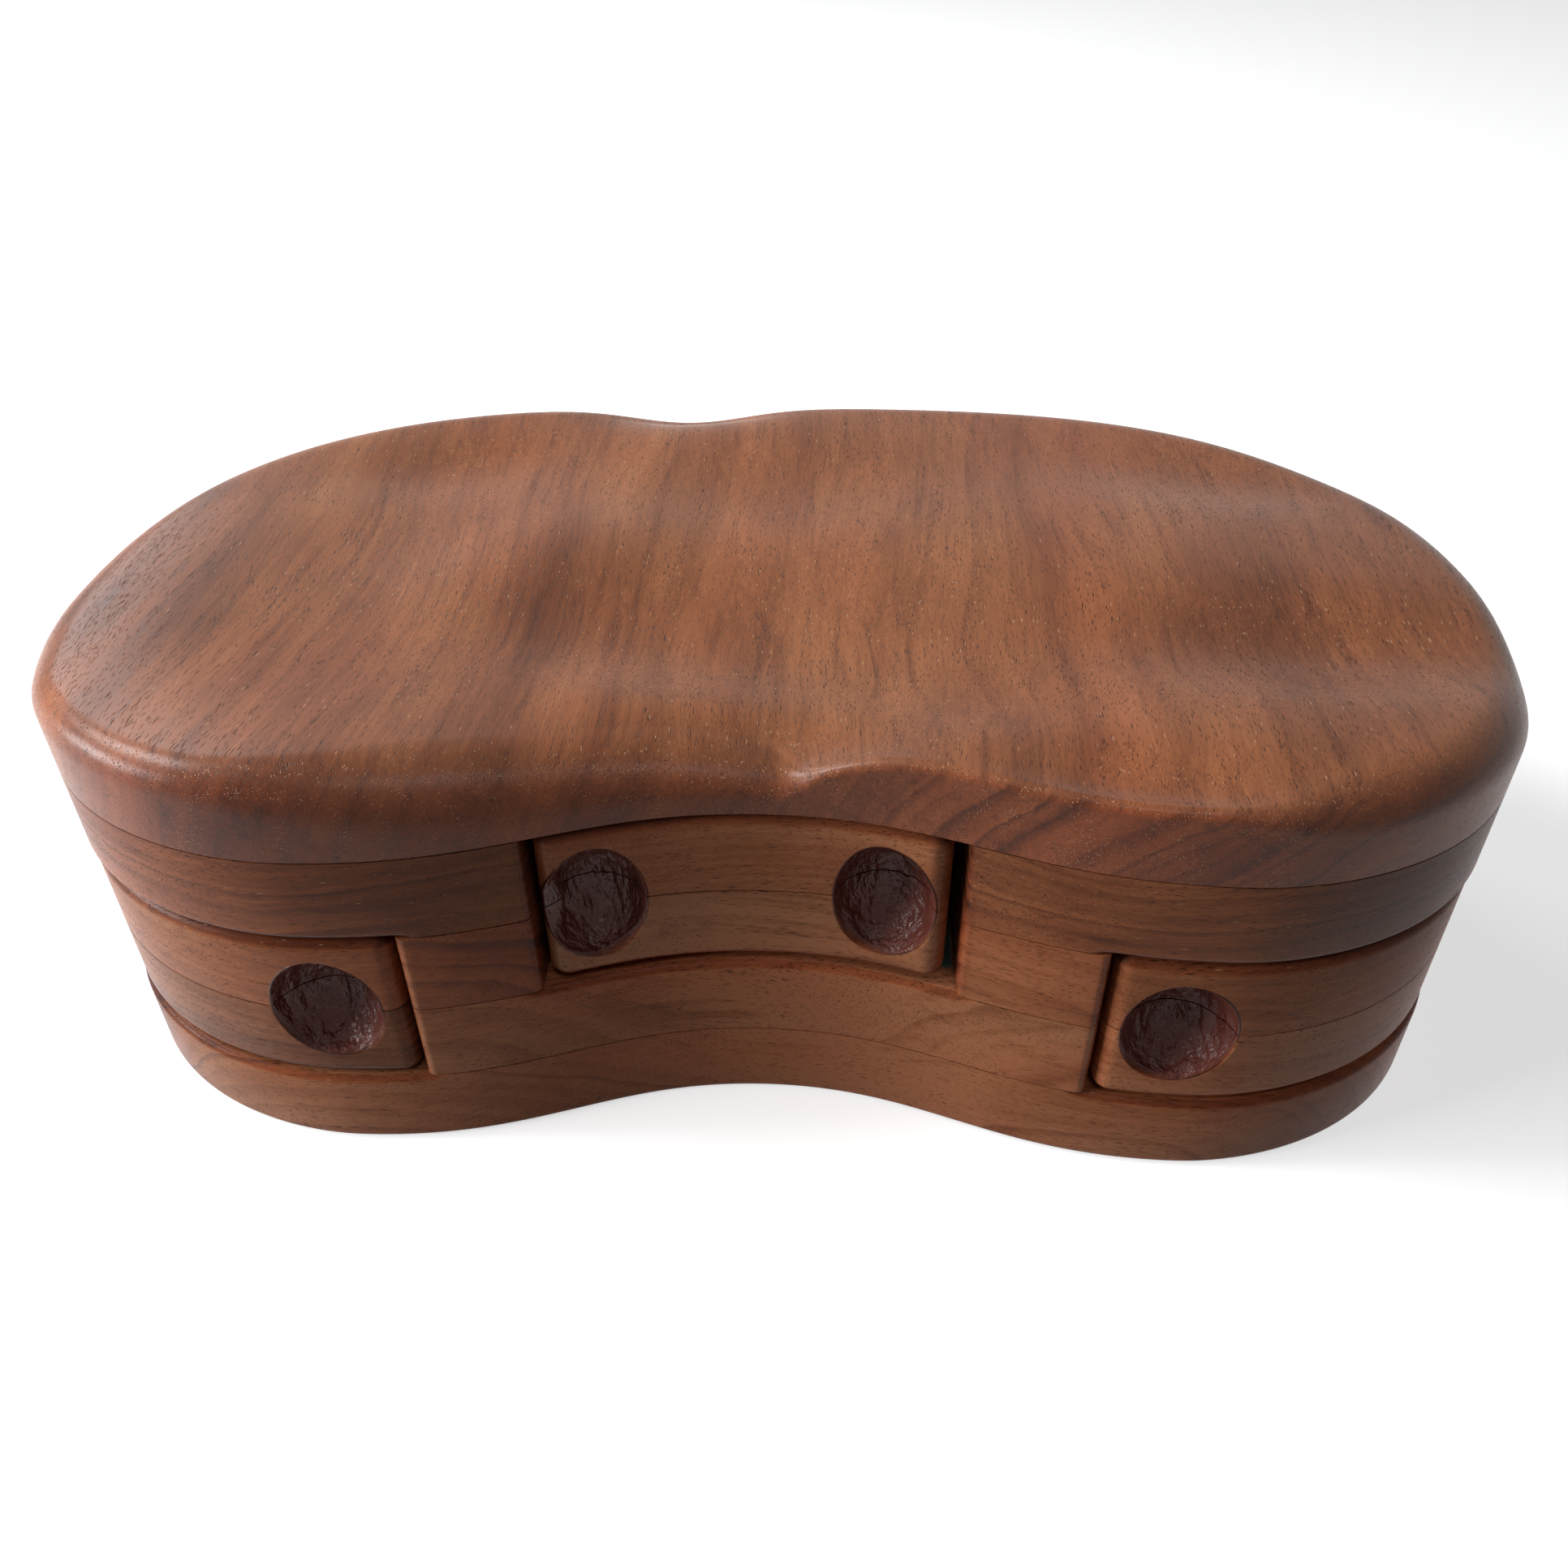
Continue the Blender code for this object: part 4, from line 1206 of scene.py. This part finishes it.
def walnut(name, heart, seed, turn, level, redness, ring_width=3.4, rings=1.0, wear=0.0, shine=0.09,
           edges=1.0, edge_wear_and_shade=(), painted_shading=(), scoops=()):
    """Oiled walnut, worked out in millimetres.

    The grain runs from front to back, turned by so many degrees. heart is where the tree's middle lies
    across the grain and in height: a board far above it is cut along its rings, and one beside it across
    them. level brightens the wood. painted_shading holds patches of painted shade and painted light,
    edge_wear_and_shade edges painted dark, partly wear and partly painted shade, and scoops the finger
    scoops, whose wood has a shade of its own. The rest are strengths.
    """
    mat, shader = new_material(name)
    unturned, normal = surface_of(mat)

    def along_grain(vector):
        inputs = {"Vector": vector, "Angle": -math.radians(turn)}
        return Signal(fed_node("ShaderNodeVectorRotate", inputs, rotation_type="Z_AXIS").outputs[0])

    mm = along_grain(unturned)
    place = vectors("ADD", mm, tuple(seed * step for step in SEED_STEPS))
    facing = fed_node("ShaderNodeSeparateXYZ", {0: along_grain(normal)}).outputs
    endwise = maths("ABSOLUTE", Signal(facing[1]))
    tilt = maths("ABSOLUTE", Signal(facing[2]))

    # the grain wanders slowly along its length and more quickly across it
    wander = drift(place, WANDER_NOISE, WANDER_MM)
    quiver = drift(place, QUIVER_NOISE, QUIVER_MM)
    grain = vectors("ADD", vectors("ADD", mm, wander), quiver)
    across = vectors("SUBTRACT", grain, (heart[0], 0.0, heart[1]))
    radius = vectors("LENGTH", drawn_out(across, 0.0))

    # growth rings: their width changes from year to year, and each ends in dark late wood
    line = joined(radius + seed * 17.0)
    year = maths("FRACT", radius / ring_width + clouds(line, *YEAR_NOISE) * RING_UNEVENNESS)
    late = remap(year, 0.30, 0.84, smooth=True) * remap(year, 1.0, 0.86, smooth=True)
    ring_dark = late * remap(clouds(line, *STRENGTH_NOISE), 0.38, 0.66, 0.15, 1.0)
    broad = clouds(line, *BAND_NOISE)

    # fibres, and pores that crowd into the dark bands
    fibre = clouds(grain, *FIBRE_NOISE)
    mottle = clouds(place, *MOTTLE_NOISE)
    streak = remap(clouds(grain, *STREAK_NOISE), 0.55, 0.70)
    crowd = ring_dark * 0.22 + remap(mottle, 0.45, 0.62) * 0.22 + streak * 0.40
    fine, luck = pores(grain, *FINE_PORES, crowd + FINE_CROWD)
    coarse, _ = pores(grain, *COARSE_PORES, crowd + COARSE_CROWD)
    pore = maths("MAXIMUM", fine * FINE_COVER, coarse * COARSE_COVER)

    value = centred(broad, BAND_SPREAD) + (WOOD_LEVEL + level)
    value = value - ring_dark * (RING_DARKNESS * rings)
    value = value + centred(fibre, FIBRE_SPREAD) + centred(mottle, MOTTLE_SPREAD)
    value = value - streak * STREAK_DARKNESS
    # painted shade and painted light: soft patches darken the wood where a board turns from the light and
    # lighten it where light falls
    if painted_shading:
        value = value + soft_patches(vectors("ADD", unturned, wander), painted_shading)

    # oil soaks into end grain, so what faces along the grain is darker and redder
    end_grain = remap(endwise, 0.30, 0.95, smooth=True)
    value = value - end_grain * END_GRAIN_DARKNESS
    # its rings are plain near the tree's middle and faint far out
    near = end_grain * remap(radius, 185.0, 140.0, 0.08, 1.0, smooth=True)
    value = value + near * centred(broad, END_BAND_SPREAD) - near * ring_dark * END_RING_DARKNESS

    # rounded edges, which face neither level nor straight up or down, are painted dark and red: partly
    # wear, and partly painted shade where they turn from the light, as the drawers' top edges under the
    # boards above
    edge = remap(tilt, 0.12, 0.50) * remap(tilt, 0.99, 0.92, 0.0, edges)
    # wear and painted shade: the edges beside the well are painted dark and red as well
    if edge_wear_and_shade:
        edge = maths("MAXIMUM", edge, soft_patches(unturned, edge_wear_and_shade))
    value = value - edge * EDGE_DARKNESS
    ruddy = maths("MAXIMUM", end_grain, edge)
    hollow = scooped(unturned, scoops)
    if scoops:
        value = value * (1.0 - hollow) + (centred(mottle, SCOOP_SPREAD) + SCOOP_LEVEL) * hollow
        ruddy = maths("MAXIMUM", ruddy, hollow)

    reds = remap(clouds(place, *RED_NOISE), 0.36, 0.66, 0.0, redness)
    reds = maths("ADD", reds, ruddy * END_REDNESS, clamp=True)
    color = blend(reds, ramp(value, WOOD_STOPS), RED_TINT, "MULTIPLY")
    if scoops:
        color = blend(hollow * SCOOP_COVER, color, SCOOP_COLOR)
    color = blend(pore, color, PORE_COLOR)
    # where pores are cut across, dust in some of them shows light
    dusty = SPECK_LUCK - remap(endwise, 0.03, 0.50) * wear
    color = blend(fine * maths("GREATER_THAN", luck, dusty) * SPECK_COVER, color, SPECK_COLOR)

    rough = remap(fibre, 0.25, 0.75, *ROUGHNESS) + pore * PORE_ROUGHNESS - hollow * HOLLOW_GLOSS
    under = None
    if scoops:
        # the cutter burnished the wood there and tore its grain
        shine = hollow * SCOOP_SHINE + shine
        torn = clouds(vectors("MULTIPLY", unturned, (1.0, 1.0, 0.45)), *TEAR_NOISE)
        under = bump(torn * hollow, *TEAR_BUMP)
    surface = bump(fibre * 0.30 - pore, *GRAIN_BUMP, under)
    return finished(mat, shader, Base_Color=color, Roughness=rough, IOR=1.45, Specular_IOR_Level=shine,
                    Normal=surface)


def felt(name):
    mat, shader = new_material(name)
    mm, _ = surface_of(mat)
    fuzz = clouds(mm, *FUZZ_NOISE)
    matted = clouds(mm, *MATTED_NOISE)
    return finished(mat, shader, Base_Color=ramp(fuzz * 0.65 + matted * 0.35, FELT_STOPS), Roughness=0.95,
                    Sheen_Weight=0.35, Sheen_Roughness=0.45, Normal=bump(fuzz, *FELT_BUMP))


def steel(name):
    """Turned steel, with fine marks round the pin."""
    mat, shader = new_material(name)
    mm, _ = surface_of(mat)
    turning = clouds(vectors("MULTIPLY", mm, (0.4, 0.4, 9.0)), *TURNING_NOISE)
    return finished(mat, shader, Base_Color=ramp(clouds(mm, *STEEL_NOISE), STEEL_STOPS), Metallic=1.0,
                    Roughness=remap(turning, 0.3, 0.7, 0.28, 0.42), Normal=bump(turning, *STEEL_BUMP))


# The box

def paint(node_name, mat):
    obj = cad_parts[node_name]
    obj.data.materials.clear()
    obj.data.materials.append(mat)


def carcass():
    base_holes = []
    roof_holes = []
    for side, sign in (("left", -1), ("right", 1)):
        low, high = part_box(side + "_pivot_pin")
        centre = Vector((sign * PIVOT.x, PIVOT.y))
        base_holes.append((centre, BASE_TOP - GLUE_LINE, low.z - PANEL_FIT))
        roof_holes.append((centre, MIDDLE_TOP, high.z + PANEL_FIT))
    board("base", outline(), 0, BASE_TOP - GLUE_LINE, everywhere, beside_side_drawers, base_holes)
    board("lower_core", core_plan(False), BASE_TOP, LOWER_TOP - GLUE_LINE, nowhere, along_well)
    board("middle_core", core_plan(True), LOWER_TOP, MIDDLE_TOP - GLUE_LINE, nowhere, nowhere)
    board("upper_core", roof_plan(), MIDDLE_TOP, UPPER_TOP - GLUE_LINE, beside_side_drawers, nowhere,
          roof_holes)
    carved_top()


def scoop_places(scoops, seam):
    """What the walnut of a drawer needs to know of its scoops."""
    face = front_line(FACE_SETBACK)
    outs = normals(face, closed=False)
    places = []
    for scoop in scoops:
        place = crossing_x(face, scoop.x)
        spot = at(face, place)
        out = outs[int(place)]
        middle = Vector((spot.x, spot.y, seam)) * MM
        places.append((middle, Vector((-out.y, out.x, 0)), Vector((out.x, out.y, 0)),
                       scoop.half_width * MM, scoop.half_height * MM))
    return places


def drawer(side, plan, pocket, bores, scoops, scoop_level, felt_mat, panel_mat):
    name = side + "_drawer"
    panel = name + "_bottom"
    places = scoop_places(scoops, scoop_level)
    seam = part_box(name + "_upper_ring")[0].z
    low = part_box(name + "_lower_ring")[0].z
    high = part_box(name + "_upper_ring")[1].z
    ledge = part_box(panel)[1].z + PANEL_FIT
    for half, seam_z, far_z in (("lower", seam - GLUE_LINE, low), ("upper", seam, high)):
        mat = wood(side + "_" + half, places)
        drawer_ring(name, half, plan, pocket, bores, seam_z, far_z, ledge, scoops, mat)
    felt_sheet(name + "_felt", name + "_lining", name, inset(pocket, LINING_FIT), felt_mat)
    paint(panel, panel_mat)


def drawers():
    felt_mat = felt("felt_green")
    panel_mat = wood("panel")
    middle = WELL_SHIFT + CENTRE_SIT + CENTRE_SCOOP_SHIFT
    scoops = []
    for sign, ripple_turn, seed in ((-1, 10, 1.7), (1, 55, 4.1)):
        x = middle + sign * CENTRE_SCOOP_SPACING / 2
        scoops.append(Scoop(x, CENTRE_SCOOP_WIDTH, CENTRE_SCOOP_HEIGHT, ripple_turn, seed))
    plan = centre_drawer_plan(0, 0, [EDGE_CORNER, WELL_CORNER, WELL_CORNER, EDGE_CORNER])
    pocket = centre_drawer_plan(FRONT_WALL, SIDE_WALL, [POCKET_CORNER] * 4)
    drawer("centre", plan, pocket, [], scoops, MIDDLE_TOP, felt_mat, panel_mat)
    felt_sheet("well_lining_felt", "well_felt", "carcass", well_floor(), felt_mat)
    for side, seam, x, ripple_turn, seed in (("left", LEFT_SEAM, -LEFT_SCOOP, 30, 2.6),
                                             ("right", RIGHT_SEAM, RIGHT_SCOOP, 20, 3.9)):
        scoop = Scoop(x, SIDE_SCOOP_WIDTH, SIDE_SCOOP_HEIGHT, ripple_turn, seed)
        plan = side_drawer_plan(seam)
        pocket = side_pocket_plan(seam)
        centre = PIVOT.copy()
        if side == "left":
            plan = mirror(plan)
            pocket = mirror(pocket)
            centre.x = -centre.x
        bore = hole_plan(centre, BORE_RADIUS)
        drawer(side, plan, pocket, [bore], [scoop], LOWER_TOP, felt_mat, panel_mat)


# The studio

def seen_directly(tree):
    """1 where the camera sees a surface itself, in a reflection or through something clear."""
    path = node(tree, "ShaderNodeLightPath").outputs
    seen = maths("MAXIMUM", Signal(path["Is Camera Ray"]), Signal(path["Is Glossy Ray"]))
    return maths("MAXIMUM", seen, Signal(path["Is Transmission Ray"]))


def colored(tree, kind, color, strength=None):
    made = node(tree, kind)
    made.inputs["Color"].default_value = (*color, 1)
    if strength is not None:
        made.inputs["Strength"].default_value = strength
    return Signal(made.outputs[0])


def mixed(lighting, seen):
    """One shader as it lights the box, and another as it is seen."""
    chosen = seen_directly(lighting.socket.id_data)
    return Signal(fed_node("ShaderNodeMixShader", {0: chosen, 1: lighting, 2: seen}).outputs[0])


def sky():
    """A dim world that looks white to the camera."""
    world = bpy.data.worlds.new("studio_world")
    bpy.context.scene.world = world
    world.use_nodes = True
    tree = world.node_tree
    tree.nodes.clear()
    light = colored(tree, "ShaderNodeBackground", WORLD_TINT, WORLD_LIGHT)
    seen = colored(tree, "ShaderNodeBackground", WHITE, 1.0)
    feed(node(tree, "ShaderNodeOutputWorld").inputs[0], mixed(light, seen))


def floor_paint():
    """Seen by the camera and in reflections, the floor is white with the box's shadow on it."""
    mat, shader = new_material("floor_white")
    tree = mat.node_tree
    finished(mat, shader, Base_Color=(FLOOR_BOUNCE, FLOOR_BOUNCE, FLOOR_BOUNCE, 1), Roughness=0.9)
    matt = colored(tree, "ShaderNodeBsdfDiffuse", (FLOOR_SEEN, FLOOR_SEEN, FLOOR_SEEN))
    glow = colored(tree, "ShaderNodeEmission", WHITE, FLOOR_GLOW)
    seen = Signal(fed_node("ShaderNodeAddShader", {0: matt, 1: glow}).outputs[0])
    feed(tree.nodes["Material Output"].inputs[0], mixed(Signal(shader.outputs[0]), seen))
    return mat


def lay_floor():
    bm = bmesh.new()
    bmesh.ops.create_grid(bm, x_segments=1, y_segments=1, size=FLOOR_REACH)
    mesh = bpy.data.meshes.new("floor")
    bm.to_mesh(mesh)
    bm.free()
    floor = add_object("floor", mesh)
    floor.location.z = -FLOOR_DROP
    mesh.materials.append(floor_paint())


def area_light(name, place, size, power, color):
    data = bpy.data.lights.new(name, "AREA")
    data.shape = "RECTANGLE"
    data.size, data.size_y = size
    data.energy = power
    data.color = color
    obj = add_object(name, data)
    obj.location = place
    obj.rotation_mode = "QUATERNION"
    obj.rotation_quaternion = (Vector(LIGHT_AIM) - Vector(place)).to_track_quat("-Z", "Y")


def set_camera():
    camera = add_object("camera", bpy.data.cameras.new("camera"))
    ahead = Vector(CAMERA_AHEAD).normalized()
    right = Vector(CAMERA_RIGHT)
    right = (right - ahead * right.dot(ahead)).normalized()
    up = right.cross(ahead)
    turn = Matrix((right, up, -ahead)).transposed()
    camera.matrix_world = Matrix.Translation(CAMERA_PLACE) @ turn.to_4x4()
    camera.data.sensor_width = SENSOR_MM
    camera.data.lens = LENS_MM
    camera.data.shift_x, camera.data.shift_y = CAMERA_SHIFT
    camera.data.clip_start = CAMERA_NEAR
    bpy.context.scene.camera = camera


carcass()
drawers()
for pin_side in ("left", "right"):
    paint(pin_side + "_pivot_pin", steel(pin_side + "_pin_steel"))

bpy.context.scene.view_settings.view_transform = "Standard"
sky()
lay_floor()
for light_settings in LIGHTS:
    area_light(*light_settings)
set_camera()
